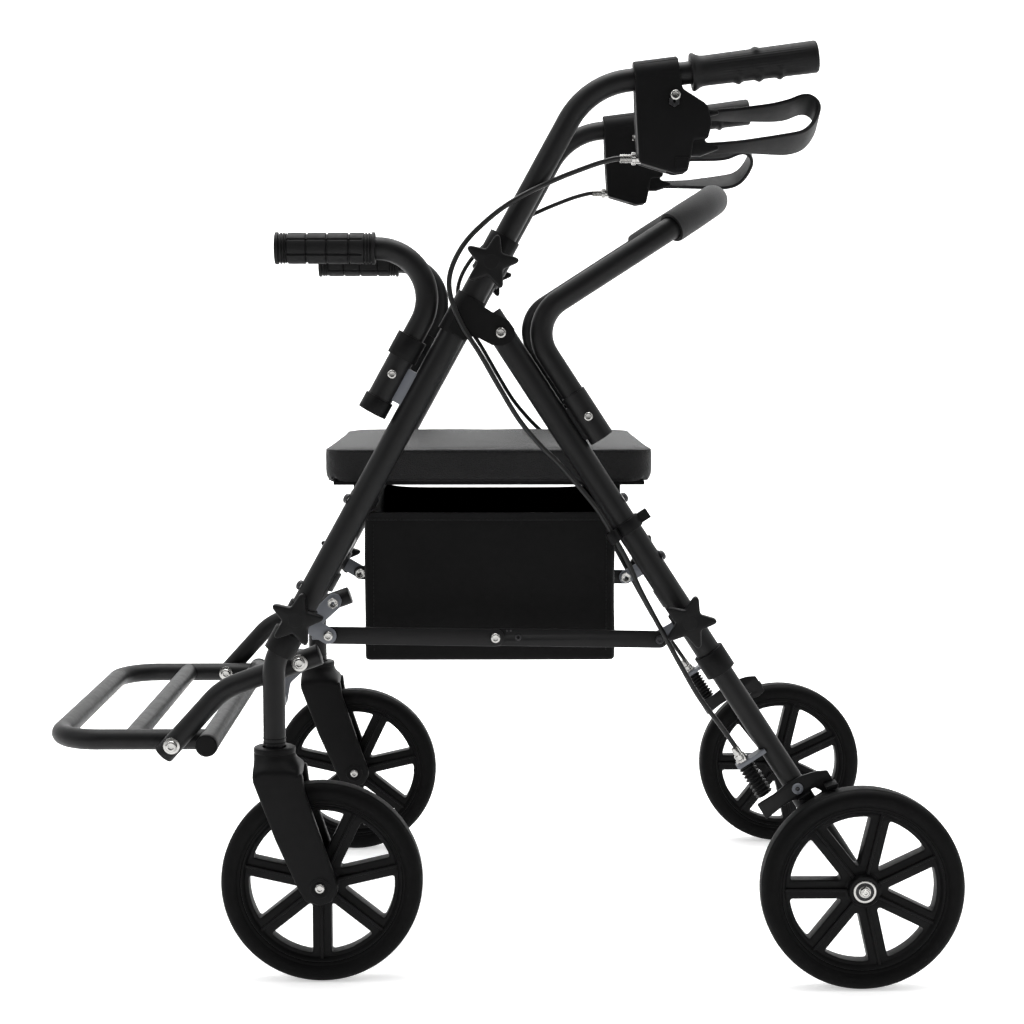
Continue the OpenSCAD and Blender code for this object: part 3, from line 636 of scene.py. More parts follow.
def wheel(sd, mirror, pos, hub_hw, phase, body, names):
    """Moulded centre with ribbed spokes, and its tyre."""
    c = np.array(pos, float)
    part = Part()
    place = lambda u, v, w: np.stack([c[0] + u, c[1] + w, c[2] + v], 1)
    n = 7
    windows = [window_outline(phase + 2 * PI * k / n) for k in range(n)]
    outer = [(79.2 * math.cos(t), 79.2 * math.sin(t)) for t in np.linspace(0, 2 * PI, 113)[:-1]]
    bore = [(9 * math.cos(t), 9 * math.sin(t)) for t in np.linspace(0, 2 * PI, 33)[:-1]]
    part.add(slab(outer, -8.6, 8.6, 1.4, 3, [*windows, bore], place))
    # ribs along the middle of each spoke, and webs into the rim
    for k in range(n):
        a = phase + 2 * PI * k / n
        d, e = np.array([math.cos(a), math.sin(a)]), np.array([-math.sin(a), math.cos(a)])
        prof = rounded([(13, -11.8), (78.6, -10.6), (78.6, 10.6), (13, 11.8)], 1.2, 3)
        def rib(u, v, w, d=d, e=e):
            r = u
            p = d[None, :] * r[:, None] + e[None, :] * w[:, None]
            return np.stack([c[0] + p[:, 0], c[1] + v, c[2] + p[:, 1]], 1)
        part.add(slab(prof, -1.5, 1.5, 0.5, 2, (), rib))
    # rim bed with lips
    prof = [(73.6, -6.0), (75.6, -8.4), (77.0, -10.2), (78.0, -12.2), (79.0, -12.9), (79.8, -12.9), (80.0, -12.4), (80.0, 12.4), (79.8, 12.9), (79.0, 12.9),
            (78.0, 12.2), (77.0, 10.2), (75.6, 8.4), (73.6, 6.0), (73.6, -6.0)]
    part.add(lathe(prof, c, Y, 112))
    # hub with bearing seats
    h = hub_hw - 0.2
    prof = [(11.2, -h + 3.2), (11.4, -h + 0.4), (12.2, -h), (14.2, -h), (15.0, -h + 0.9), (16.0, -9.6), (20.5, -7.6), (21.5, -6.4), (22, -3.8), (22, 3.8), (21.5, 6.4),
            (20.5, 7.6), (16.0, 9.6), (15.0, h - 0.9), (14.2, h), (12.2, h), (11.4, h - 0.4), (11.2, h - 3.2), (9, h - 3.6), (9, -h + 3.6), (11.2, -h + 3.2)]
    part.add(lathe(prof, c, Y, 56))
    build(names[0], part.get(), M_PLASTIC, body, mirror, 30, (names[0].replace("look_", ""),))
    # ball bearings, one on each side
    p = Part()
    for s in (-1, 1):
        y0 = c[1] + s * (h - 3.2)
        o = np.array([c[0], y0, c[2]])
        p.add(lathe(ring_profile(8.9, 11.1, 0, 2.9, 0.4, 2), o, Y * s, 48))
        p.add(lathe(ring_profile(4.1, 5.9, 0, 2.9, 0.4, 2), o, Y * s, 40))
    build(names[0] + "_bearing_rings", p.get(), M_STEEL, body, mirror, 30)
    p = Part()
    for s in (-1, 1):
        o = np.array([c[0], c[1] + s * (h - 3.2), c[2]])
        p.add(lathe(ring_profile(5.8, 9.0, 0.2, 1.7, 0.3, 2), o, Y * s, 48))
        for k in range(7):
            a = 2 * PI * k / 7
            q = o + np.array([7.4 * math.cos(a), s * 1.7, 7.4 * math.sin(a)])
            p.add(lathe([(0, -0.2), (1.0, -0.2), (1.25, 0.2), (1.0, 0.75), (0, 0.95)], q, Y * s, 12))
    build(names[0] + "_bearing_cage", p.get(), M_NUT, body, mirror, 40)
    # tyre: rounded shoulders, flat-ish tread with two fine grooves and a bead line
    half = [(80.02, 0.0), (80.02, 12.5), (80.6, 13.1), (82.4, 13.6), (83.4, 13.4), (84.0, 14.0), (85.6, 15.2), (88.0, 15.9), (91.2, 16.0), (93.4, 15.8),
            (95.2, 15.1), (96.8, 14.1), (98.0, 12.8), (98.9, 11.4), (99.4, 10.2), (99.0, 9.8), (99.0, 9.0), (99.6, 8.6), (99.9, 6.0), (100.0, 3.0), (100.0, 0.0)]
    prof = [(r, -w) for r, w in half] + [(r, w) for r, w in half[::-1][1:]]
    prof = prof[:-1] + [prof[0]]
    build(names[1], lathe(prof, c, Y, 144), M_TYRE, body, mirror, 50, (names[1].replace("look_", ""),))


for sd, mir in SIDES:
    wheel(sd, mir, (-172.8, -252, 100), 19.6, math.radians(-90), "front_wheel_" + sd, ("look_front_rim_" + sd, "look_front_tyre_" + sd))
    wheel(sd, mir, (359, -284, 100), 17.8, math.radians(180), "rear_wheel_" + sd, ("look_rear_rim_" + sd, "look_rear_tyre_" + sd))

# ------------------------------------------------------------------ caster forks
for sd, mir in SIDES:
    p = Part()
    leg = rounded([(-238.4, 213), (-237.6, 205), (-216.3, 147.4), (-194.3, 98), (-188, 86.2), (-172.8, 81.6), (-161, 86), (-155.3, 96), (-155.6, 102), (-187.3, 196), (-189.4, 213)],
                  [3, 6, 12, 8, 8, 10, 8, 8, 8, 10, 3], 6)
    for y0, y1 in ((-282, -271.2), (-232.8, -222)):
        p.add(slab(leg, y0, y1, 3.0, 4, (), xz))
    # crown: round at the stem, spreading into the two legs over the wheel
    loft, rings_n = [], 72
    for z, cx, hx, hy, ex in ((206.6, -215.0, 22.8, 29.95, 16), (209.5, -215.0, 23.2, 30.0, 14), (212.5, -215.0, 23.5, 30.0, 11), (215, -215.2, 23.4, 29.6, 7), (217, -215.5, 23.2, 28.6, 4.8),
                              (219.5, -216.2, 22.6, 26.6, 3.3), (223, -217.6, 21.5, 23.8, 2.5), (226, -218.5, 20.8, 21.6, 2.1), (228.6, -218.8, 20.6, 20.6, 2.0), (229.1, -218.8, 20.2, 20.2, 2.0),
                              (229.9, -218.8, 20.2, 20.2, 2.0), (230.4, -218.8, 20.6, 20.6, 2.0), (233.6, -218.8, 20.6, 20.6, 2.0), (234.7, -218.8, 20.2, 20.2, 2.0), (235.3, -218.8, 19.0, 19.0, 2.0),
                              (235.3, -218.8, 12.4, 12.4, 2.0), (234.6, -218.8, 11.9, 11.9, 2.0), (231.0, -218.8, 11.7, 11.7, 2.0)):
        ring = []
        for k in range(rings_n):
            a = 2 * PI * k / rings_n
            ca, sa = math.cos(a), math.sin(a)
            ring.append((cx + hx * math.copysign(abs(ca) ** (2 / ex), ca), -252 + hy * math.copysign(abs(sa) ** (2 / ex), sa), z))
        loft.append(ring)
    faces = [(i * rings_n + k, i * rings_n + (k + 1) % rings_n, (i + 1) * rings_n + (k + 1) % rings_n, (i + 1) * rings_n + k) for i in range(len(loft) - 1) for k in range(rings_n)]
    faces += [tuple(range(rings_n))[::-1], tuple((len(loft) - 1) * rings_n + k for k in range(rings_n))]
    p.add((np.array([q for r in loft for q in r]), faces))
    # boss round the axle
    for s, y in ((-1, -282), (1, -222)):
        p.add(lathe([(0, -4), (10.5, -4), (10.5, 0.2), (9.6, 1.0), (7.4, 1.0), (7.0, 0.4), (0, 0.4)], (-172.8, y, 100), Y * s, 40))
    build("look_caster_fork_" + sd, p.get(), M_PLASTIC, "fork_" + sd, mir, 34, ("caster_fork_" + sd,))
    # caster stem in the dark steel finish: painted shade for the neck that sits in shadow under the tube end
    p = Part()
    p.add(lathe([(0, 0), (8.9, 0), (8.9, 52), (7.6, 53.5), (0, 53.5)], (-218.8, -252, 230.8), Z, 36))
    build("caster_stem_" + sd, p.get(), M_NUT, "fork_" + sd, mir, 34)
    p = Part()
    p.add(button_head((-172.8, -282.3, 100), -Y, 4.9, 3.4))
    p.add(button_head((-172.8, -221.7, 100), Y, 4.9, 3.4))
    p.add(lathe([(0, 0), (3.95, 0), (3.95, 61), (0, 61)], (-172.8, -282.5, 100), Y, 24))
    build("caster_axle_" + sd, p.get(), M_STEEL, "fork_" + sd, mir, 34)
    # two fine rings low on the stem tube, where the dust cap sits
    p = Part()
    for z in (239.2, 243.2):
        p.add(lathe(ring_profile(10.8, 11.35, 0, 1.2, 0.25, 2), (-218.8, -252, z), Z, 48))
    build("stem_rings_" + sd, p.get(), M_PLASTIC, "front_lower", mir, 34)

# rear axle nuts, washers
for sd, mir in SIDES:
    p = Part()
    p.add(hex_nut((359, -302.2, 100), -Y, 5.2, 3.6, 0.6))
    p.add(lathe([(0, 0), (3.7, 0), (3.7, 69.6), (3.0, 70.4), (1.4, 70.4), (1.0, 69.4), (0, 69.4)], (359, -236.4, 100), -Y, 28))
    p.add(lathe(ring_profile(3.8, 7.9, 0, 2.4, 0.5, 2), (359, -265.7, 100), Y, 40))
    p.add(hex_nut((359, -240.8, 100), Y, 6.6, 5.2, 0.4))
    build("look_rear_axle_" + sd, p.get(), M_STEEL, "rear_lower", mir, 34, ("rear_axles",) if sd == "left" else ())

# ------------------------------------------------------------------ star knobs
def star_knob(name, centre, uax, vax, body, mirror, node, turn):
    """Five-point moulded star on a stub, outboard of the clamp boss. uax and vax span the star's face."""
    c = np.array(centre, float)
    pts, rad = [], []
    # tapering arms with blunt round tips
    for k in range(10):
        a = PI / 2 + math.radians(turn) + k * PI / 5
        r = 32.0 if k % 2 == 0 else 13.2
        pts.append((r * math.cos(a), r * math.sin(a)))
        rad.append(3.5 if k % 2 == 0 else 3.2)
    outline = rounded(pts, rad, 8)
    place = lambda u, v, w: c[None, :] + u[:, None] * uax[None, :] + v[:, None] * vax[None, :] + w[:, None] * Y[None, :]
    p = Part()
    p.add(slab(outline, -288.0, -277.2, 2.2, 4, (), place))
    o = c
    p.add(lathe([(0, 288.25), (6.8, 288.25), (7.4, 287.8), (8.6, 284.0), (11.0, 277.5), (10.2, 275.6), (0, 275.4)], o, -Y, 44))
    look = build(name, p.get(), M_KNOB, body, mirror, 36, (node,))
    p = Part()
    p.add(lathe([(0, 263.6), (3.4, 263.6), (4.0, 264.4), (4.0, 279), (0, 279)], o, -Y, 24))
    build(name + "_screw", p.get(), M_STEEL, body, mirror, 36)


for sd, mir in SIDES:
    star_knob("look_handle_knob_" + sd, front(0, 368.4), NF, UF, "handle_clamp_" + sd, mir, "handle_knob_" + sd, 14.2)
    star_knob("look_front_knob_" + sd, front(0, -23.7), NF, UF, "front_clamp_" + sd, mir, "front_knob_" + sd, 14.2)
    star_knob("look_rear_knob_" + sd, rear(0, 313.6), NR, UR, "rear_clamp_" + sd, mir, "rear_knob_" + sd, 24.2)

# grey spacers between the armrest sockets and the front legs
for sd, mir in SIDES:
    sp = rounded([(-21.0, 205.7), (-11.15, 205.7), (-11.15, 240.3), (-21.0, 240.3)], 0.6, 2)
    build("armrest_spacer_" + sd, slab(sp, -258.25, -245.75, 0.4, 2, (), on_front), M_GREY, "front_frame", mir, 34)

# ------------------------------------------------------------------ grips
def smooth_step(a, b, x):
    t = max(0.0, min(1.0, (x - a) / (b - a)))
    return t * t * (3 - 2 * t)


for sd, mir in SIDES:
    # hand grip: bell flange, slightly swelling body, low finger ridges underneath and one on top
    prof = [(11.2, 99.6), (14.5, 99.4), (17.6, 99.8), (18.3, 101.2), (18.2, 102.6), (17.4, 104.0), (16.0, 106.2), (15.0, 109.0), (14.6, 112.0)]
    prof += [(14.5 + 1.0 * (s - 114) / 106, s) for s in np.linspace(114, 218.5, 70)]
    prof += [(15.45, 219.6), (15.2, 220.8), (14.5, 221.7), (13.6, 222.1), (6.0, 222.2), (3.2, 222.0), (2.6, 221.2), (0, 221.0)]

    def ridges(t, r, s):
        if s < 112 or s > 216:
            return r
        down = math.cos(t)
        add = 0.0
        for k in (144.5, 164.5, 184.5):
            add += 2.4 * math.exp(-((s - k) / 2.9) ** 2) * smooth_step(0.3, 0.75, down)
        add += 1.9 * math.exp(-((s - 162.8) / 2.9) ** 2) * smooth_step(0.5, 0.85, -down)
        # fine lengthwise flutes on the side panels
        side = abs(math.sin(t))
        add -= 0.22 * (0.5 + 0.5 * math.cos(36 * t)) * smooth_step(0.55, 0.9, side) * smooth_step(118, 124, s) * (1 - smooth_step(206, 212, s))
        return r + add

    build("look_hand_grip_" + sd, lathe(prof, hand(0, 0, -LEG_Y), UH, 144, NH, ridges), M_RUBBER, "handle_" + sd, mir, 50, ("hand_grip_" + sd,))

for sd, mir in SIDES:
    # armrest grip: end flanges, fine rings and a field of raised blocks
    xs = np.concatenate([np.linspace(0, 14, 43), np.linspace(14.3, 84, 156), np.linspace(84.3, 97, 40)])
    grooves_x = (11.7, 30.8, 50.3, 71.5)
    rings_x = ((4.4, 1.0), (7.4, 0.8), (10.0, 0.8), (86.6, 0.8), (89.6, 0.8), (92.8, 1.0))

    def block_r(t, r, h):
        x = h
        q = 15.1
        if x < 0.9:
            q -= 1.6 * (1 - math.sqrt(max(0, 1 - ((0.9 - x) / 0.9) ** 2)))
        if x > 96.1:
            q -= 1.6 * (1 - math.sqrt(max(0, 1 - ((x - 96.1) / 0.9) ** 2)))
        if x < 3.6 or x > 93.6:
            return q + 0.5
        for c, w in rings_x:
            q -= 1.3 * (1 - smooth_step(w * 0.45, w, abs(x - c)))
        if 11.2 < x < 85.4:
            for c in grooves_x:
                q -= 1.5 * (1 - smooth_step(0.55, 1.15, abs(x - c)))
            a = ((t + math.radians(4)) % (PI / 3)) - PI / 6
            q -= 1.5 * (1 - smooth_step(0.55, 1.2, abs(a) * 15.1)) * smooth_step(11.6, 12.6, x) * (1 - smooth_step(84, 85, x))
        return q

    prof = [(0, 0.0), (9.0, 0.0)] + [(15.0, float(x)) for x in xs] + [(11.3, 97.0), (11.1, 96.0)]

    def grip_r(t, r, h):
        return block_r(t, r, h) if r > 14.9 else r

    build("look_armrest_grip_" + sd, lathe(prof, (-213, -252, 723.5), X, 156, -Y, grip_r), M_RUBBER, "front_frame", mir, 40,
          ("armrest_grips",) if sd == "left" else ())

# ------------------------------------------------------------------ backrest foam
TH = math.radians(90.4)
BD = math.cos(TH) * UR + math.sin(TH) * NR
B0 = rear(26.6, 642.9)
foam = []
R_C = 110.0
s_end = 227.0 - R_C
# the sleeve begins part of the way round the bend
for a in np.linspace(math.radians(28), PI / 2, 42):
    foam.append(B0 + BD * (s_end + R_C * math.sin(a)) + Y * (-LEG_Y + R_C * (1 - math.cos(a))))
for y in np.linspace(-LEG_Y + R_C, 0, 40)[1:]:
    foam.append(B0 + BD * (s_end + R_C) + Y * y)
foam = np.array(foam)
foam = np.vstack([foam, (foam[:-1] * np.array([1, -1, 1]))[::-1]])
n_f = len(foam)
dist = np.concatenate([[0], np.cumsum(np.linalg.norm(np.diff(foam, axis=0), axis=1))])


def foam_section(i):
    d = min(dist[i], dist[-1] - dist[i])
    r = 15.5 - 0.6 * (1 - min(1.0, d / 1.5)) ** 2
    wob = 0.16 * noise.noise(Vector((dist[i] * 0.021, 3.1, 0.7))) + 0.08 * noise.noise(Vector((dist[i] * 0.09, 1.1, 5.7)))
    return [((r + wob + 0.10 * noise.noise(Vector((math.cos(t) * 1.3, math.sin(t) * 1.3, dist[i] * 0.03)))) * math.cos(t),
             (r + wob) * math.sin(t)) for t in np.linspace(0, 2 * PI, 41)[:-1]]


fv, ff = sweep(foam, foam_section, caps=False, ref=Z)
m40 = 40
base = len(fv)
inner = []
# the bore opens out a little at each end, so a dark gap shows round the tube
for idx, deep in ((0, 3), (n_f - 1, n_f - 4)):
    ring = fv[idx * m40:(idx + 1) * m40]
    c = foam[idx]
    inner.append(c + (ring - c) * (12.0 / 14.9))
    ring = fv[deep * m40:(deep + 1) * m40]
    c = foam[deep]
    inner.append(c + (ring - c) * (11.1 / 15.5))
fv = np.vstack([fv, *inner])
last = (n_f - 1) * m40
for k in range(m40):
    q = (k + 1) % m40
    ff.append((k, base + k, base + q, q))
    ff.append((base + k, base + m40 + k, base + m40 + q, base + q))
    ff.append((last + k, last + q, base + 2 * m40 + q, base + 2 * m40 + k))
    ff.append((base + 2 * m40 + k, base + 2 * m40 + q, base + 3 * m40 + q, base + 3 * m40 + k))
foam_obj = build("look_backrest_foam", (fv, ff), M_FOAM, "rear_frame", False, 50, ("backrest_foam",))
# painted shade: the cut end faces and the flared bore take the dark rubber finish, standing in for the shade on ends
# turned away from the light
foam_obj.data.materials.append(M_RUBBER)
for q in list(foam_obj.data.polygons)[len(ff) - 4 * m40:]:
    q.material_index = 1

# ------------------------------------------------------------------ brake housings
for sd, mir in SIDES:
    p = Part()
    body = rounded([(132.8, 886.5), (134.3, 850), (137.3, 804.5), (172, 794.2), (183.8, 796.0), (187.2, 812), (189.2, 826.2), (203.2, 827.4), (206.4, 841), (203.0, 857.6),
                    (199.2, 861.4), (178.8, 874.2), (176.4, 884), (175.6, 890.5)],
                   [6, 0, 5, 6, 4, 3, 3, 3, 9, 6, 6, 5, 3, 6], 5)
    # two cheeks and a spine leave the lever's slot open
    p.add(slab(body, -269.0, -259.9, 2.2, 4, (), xz))
    p.add(slab(body, -244.1, -235.0, 2.2, 4, (), xz))
    spine = rounded([(133.0, 898), (134.8, 850), (137.8, 805), (166, 796.5), (164.0, 866), (178.0, 874.4), (175.6, 888), (174.6, 903.5)], [1, 0, 4, 2, 2, 2, 2, 1], 4)
    p.add(slab(spine, -263, -241, 1.0, 2, (), xz))
    # rounded saddle over the handle tube
    p.add(lathe([(11.2, 45.2), (15.9, 45.2), (16.9, 46.2), (16.9, 87.0), (15.9, 88.0), (11.2, 88.0), (11.2, 45.2)], hand(0, 0, -LEG_Y), UH, 64))
    # foot block
    foot = rounded([(171.5, 809.5), (171.5, 797), (183.6, 798.5), (185.0, 809.5)], 2.0, 4)
    p.add(slab(foot, -270.2, -266, 1.2, 3, (), xz))
    build("look_brake_housing_" + sd, p.get(), M_HOUSING, "handle_" + sd, mir, 32, ("brake_housing_" + sd,))
    # clamp bolt with its nut, lever pin
    p = Part()
    p.add(button_head((171.3, -269.0, 867.8), -Y, 5.3, 4.0))
    p.add(lathe([(0, 0), (2.9, 0), (2.9, 26), (0, 26)], (182, -265, 836), Y, 24))
    p.add(hex_nut((171.3, -234.9, 873.4), Y, 5.6, 3.6, 0.3))
    build("clamp_bolt_" + sd, p.get(), M_STEEL, "handle_" + sd, mir, 34)
    build("clamp_nut_" + sd, hex_nut((170.2, -268.4, 862.0), -Y, 5.4, 3.6, 0.3), M_NUT, "handle_" + sd, mir, 34)
    # cable adjuster: threaded barrel, knurled lock ring, ferrule
    thread = [(2.75, 0)]
    for k in range(12):
        thread += [(4.15, 0.35 + k), (4.15, 0.6 + k), (3.6, 0.95 + k), (3.6, 1.1 + k)]
    thread += [(3.4, 12.4), (2.75, 12.4), (2.75, 0)]
    p = Part()
    p.add(lathe(thread, (119.4, -256, 809), X, 36))
    def knurl(t, r, h):
        return r * (1 - 0.045 * (0.5 + 0.5 * math.cos(16 * t))) if r > 5 else r
    p.add(lathe([(3.5, 130.6), (5.6, 130.6), (6.2, 131.1), (6.2, 134.4), (5.6, 134.9), (3.5, 134.9), (3.5, 130.6)], (0, -256, 809), X, 96, None, knurl))
    p.add(lathe([(3.5, 134.6), (4.8, 134.6), (4.8, 139.5), (3.5, 139.5), (3.5, 134.6)], (0, -256, 809), X, 32))
    build("cable_adjuster_" + sd, p.get(), M_STEEL, "handle_" + sd, mir, 34)

# ------------------------------------------------------------------ loop levers: one strap bent round, leaning out at the top
def lever_strap(mirror, sd):
    mid = [(-16, 15.4), (-4, 16.2), (8, 17.0), (34, 18.6), (58, 20.5), (72, 23.5), (84, 28.6), (92, 29.0), (98.5, 24.0), (100.5, 16.0), (97.5, 6.0), (91.5, -4.0), (84, -10.6), (74, -14.0), (60, -15.6),
           (40, -16.8), (20, -17.8), (-4, -18.4), (-16, -18.4)]
    path2 = catmull(mid, 6)
    ca, sa = math.cos(math.radians(-26)), math.sin(math.radians(-26))
    # the ends run straight into the housing's slot
    path = np.array([[210 + x, -252 - sa * z * smooth_step(-4, 30, x), 836 + ca * z] for x, z in path2])
    lean = math.radians(-31)
    across = np.array([0, math.cos(lean), math.sin(lean)])
    th, wd = 2.0, 15.4
    sec = rounded([(-th, -wd), (th, -wd), (th, wd), (-th, wd)], 1.7, 4)
    n = len(path)

    def section(i):
        k = min(i, n - 1 - i) / 30.0
        w = 0.46 + 0.54 * smooth_step(0.28, 1, k) + 0.08 * smooth_step(0.5 * n, 0.75 * n, i) * smooth_step(0.1, 1, k)
        return [(b * w, a) for a, b in sec]

    return sweep(path, section, fixed_up=across)


for sd, mir in SIDES:
    p = Part()
    p.add(lever_strap(mir, sd))
    root = rounded([(172.6, 829.5), (180, 820.5), (188, 811.6), (197, 811.6), (214, 817.5), (214, 821), (201.5, 825), (199.5, 836), (201.5, 848), (214, 851), (214, 854.5), (206, 854.5), (181, 848.5), (172.6, 842.5)],
                   [5, 6, 3, 3, 1, 1, 4, 5, 4, 1, 1, 3, 6, 5], 5)
    hole = [(182 + 3.2 * math.cos(t), 836 + 3.2 * math.sin(t)) for t in np.linspace(0, 2 * PI, 25)[:-1]]
    p.add(slab(root, -259.0, -245.0, 1.6, 3, (hole,), xz))
    build("look_brake_lever_" + sd, p.get(), M_LEVER, "lever_" + sd, mir, 36, ("brake_lever_" + sd,))

# ------------------------------------------------------------------ rear brake boots: bellows over the return spring
for sd, mir in SIDES:
    prof = [(3.0, 124.2), (8.4, 124.2), (8.9, 124.8)]
    k_n = 8
    for k in range(k_n):
        s0 = 126.0 + k * 4.0
        big = 9.4 - 0.12 * k
        prof += [(6.3, s0 - 0.9), (6.1, s0 - 0.3), (6.5, s0 + 0.4), (big - 0.4, s0 + 1.5), (big, s0 + 2.0), (big - 0.4, s0 + 2.5)]
    prof += [(6.3, 157.6), (7.4, 158.2), (7.4, 159.2), (3.0, 159.2), (3.0, 124.2)]
    o = rear(-30, 0, -257)
    build("look_brake_boot_" + sd, lathe(prof, o, UR, 44), M_RUBBER, "rear_lower", mir, 40, ("brake_boots",) if sd == "left" else ())
    # cable ferrule with lock nut above the tab
    p = Part()
    o = rear(-30, 0, -258)
    p.add(lathe([(2.0, 163.7), (5.2, 163.7), (5.6, 164.2), (5.6, 171.4), (5.1, 172.0), (4.3, 172.0), (4.3, 179.2), (3.8, 180.0), (2.8, 180.4), (2.0, 179.8), (2.0, 163.7)], o, UR, 36))
    p.add(hex_nut(rear(-30, 163.7, -258), UR, 6.7, 3.6, 0.5))
    build("brake_ferrule_" + sd, p.get(), M_STEEL, "rear_lower", mir, 34)
    # cable stop tab, and the pivot rivet: pale rim with a dark centre
    p = Part()
    tab = rounded([(-38.5, -265.3), (-6, -265.3), (-6, -248.7), (-38.5, -248.7)], [3.0, 0.8, 0.8, 3.0], 4)
    p.add(slab(tab, 159.7, 163.6, 0.5, 2, (), lambda u, v, w: rear(0, 0)[None, :] + u[:, None] * NR[None, :] + v[:, None] * Y[None, :] + w[:, None] * UR[None, :]))
    p.add(lathe([(2.0, 0.1), (5.2, 0.1), (5.6, 0.5), (5.5, 1.4), (4.7, 2.3), (3.0, 2.6), (2.3, 2.1), (2.0, 0.1)], rear(0, 113, -266.8), -Y, 40))
    p.add(lathe([(0, -0.2), (2.9, -0.2), (2.9, 25.2), (0, 25.2)], rear(0, 113, -266.6), Y, 24))
    build("look_brake_bracket_" + sd, p.get(), M_GREY, "rear_lower", mir, 34, ("brake_brackets",) if sd == "left" else ())
    p = Part()
    p.add(lathe([(0, 0.0), (2.2, 0.0), (2.2, 1.0), (1.8, 1.2), (0, 1.1)], rear(0, 113, -266.8), -Y, 28))
    build("brake_rivet_core_" + sd, p.get(), M_NUT, "rear_lower", mir, 34)
    # brake arm: pressed plate with its window, the shoe at its end and the pad by the pivot
    p = Part()
    arm = rounded([(-42, 121.2), (-42.4, 103.5), (-22.5, 105.6), (-10, 105.6), (-2, 100), (6, 93), (24, 88), (34, 90), (34.5, 112), (24.6, 117.5), (9.7, 121.6), (-8, 122.5), (-22.3, 120.8)],
                  [2.0, 2.0, 6, 5, 6, 6, 6, 3, 2.5, 10, 14, 14, 14], 5)
    slot = rounded([(10.2, 105.0), (15.2, 104.1), (19.6, 96.7), (10.2, 96.7)], [1.5, 2.5, 1.5, 1.5], 4)
    p.add(slab(arm, -266.6, -263.4, 0.6, 2, (slot,), on_rear))
    def shoe(r0, r1, a0, a1, y0, y1):
        pts = [(r1 * math.sin(a), r1 * math.cos(a)) for a in np.linspace(a0, a1, 9)] + [(r0 * math.sin(a), r0 * math.cos(a)) for a in np.linspace(a1, a0, 9)]
        return slab(np.array(pts), y0, y1, 0.7, 2, (), on_rear)
    build("look_brake_arm_" + sd, p.get(), M_COAT, "shoe_" + sd, mir, 34, ("brake_arm_" + sd,))
    p = Part()
    p.add(shoe(103.2, 106.4, math.radians(13.0), math.radians(19.6), -284, -263.8))
    p.add(shoe(103.4, 105.6, math.radians(-3.0), math.radians(4.6), -275, -264))
    build("brake_pad_" + sd, p.get(), M_TYRE, "shoe_" + sd, mir, 34)

# ------------------------------------------------------------------ brake cables
UPPER = [[124, -256, 809], [116, -256, 808.8], [104, -256.4, 806], [90, -257, 801.5], [62, -262, 790.5], [33, -267, 777], [9, -269, 763], [-10, -271, 748], [-27, -273, 731],
         [-38, -273, 714], [-44, -273, 697], [-44, -273, 681], [-39, -273, 664], [-30.5, -273, 646]]
MIDDLE = [[-30.5, -273, 646], [-15, -273, 622], [4, -272, 589], [23, -270, 558], [43, -268, 534], [62, -266, 515], [82, -265, 492], [101, -265, 468], [117.5, -265, 440]]
LOWER = [[117.5, -265, 440], [129, -265, 419], [140, -265, 394], [152, -265, 371], [165, -265, 347], [182, -264, 316], [200, -262, 285], [218, -260, 261], [232, -258, 241.5], [241.5, -258, 227.5]]


def blended(name, vf, mat, mirror, nodes):
    o = mesh_obj(name, vf[0], vf[1], mat, mirror, 50)
    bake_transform(o)
    if nodes:
        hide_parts(*nodes)
    return o


for sd, mir in SIDES:
    whole = catmull(np.array(UPPER + MIDDLE[1:] + LOWER[1:]), 8)
    nu, nm = (len(UPPER) - 1) * 8, (len(MIDDLE) - 1) * 8
    first = sd == "left"
    blended("look_cable_upper_" + sd, sweep(whole[:nu + 1], circle(2.5, 20), ref=Y), M_CABLE, mir,
            ("brake_cables_upper",) if first else ())
    blended("look_cable_middle_" + sd, sweep(whole[nu:nu + nm + 1], circle(2.5, 20), ref=Y), M_CABLE, mir,
            ("brake_cables_middle",) if first else ())
    blended("look_cable_lower_" + sd, sweep(whole[nu + nm:], circle(2.5, 20), ref=Y), M_CABLE, mir,
            ("brake_cables_lower",) if first else ())

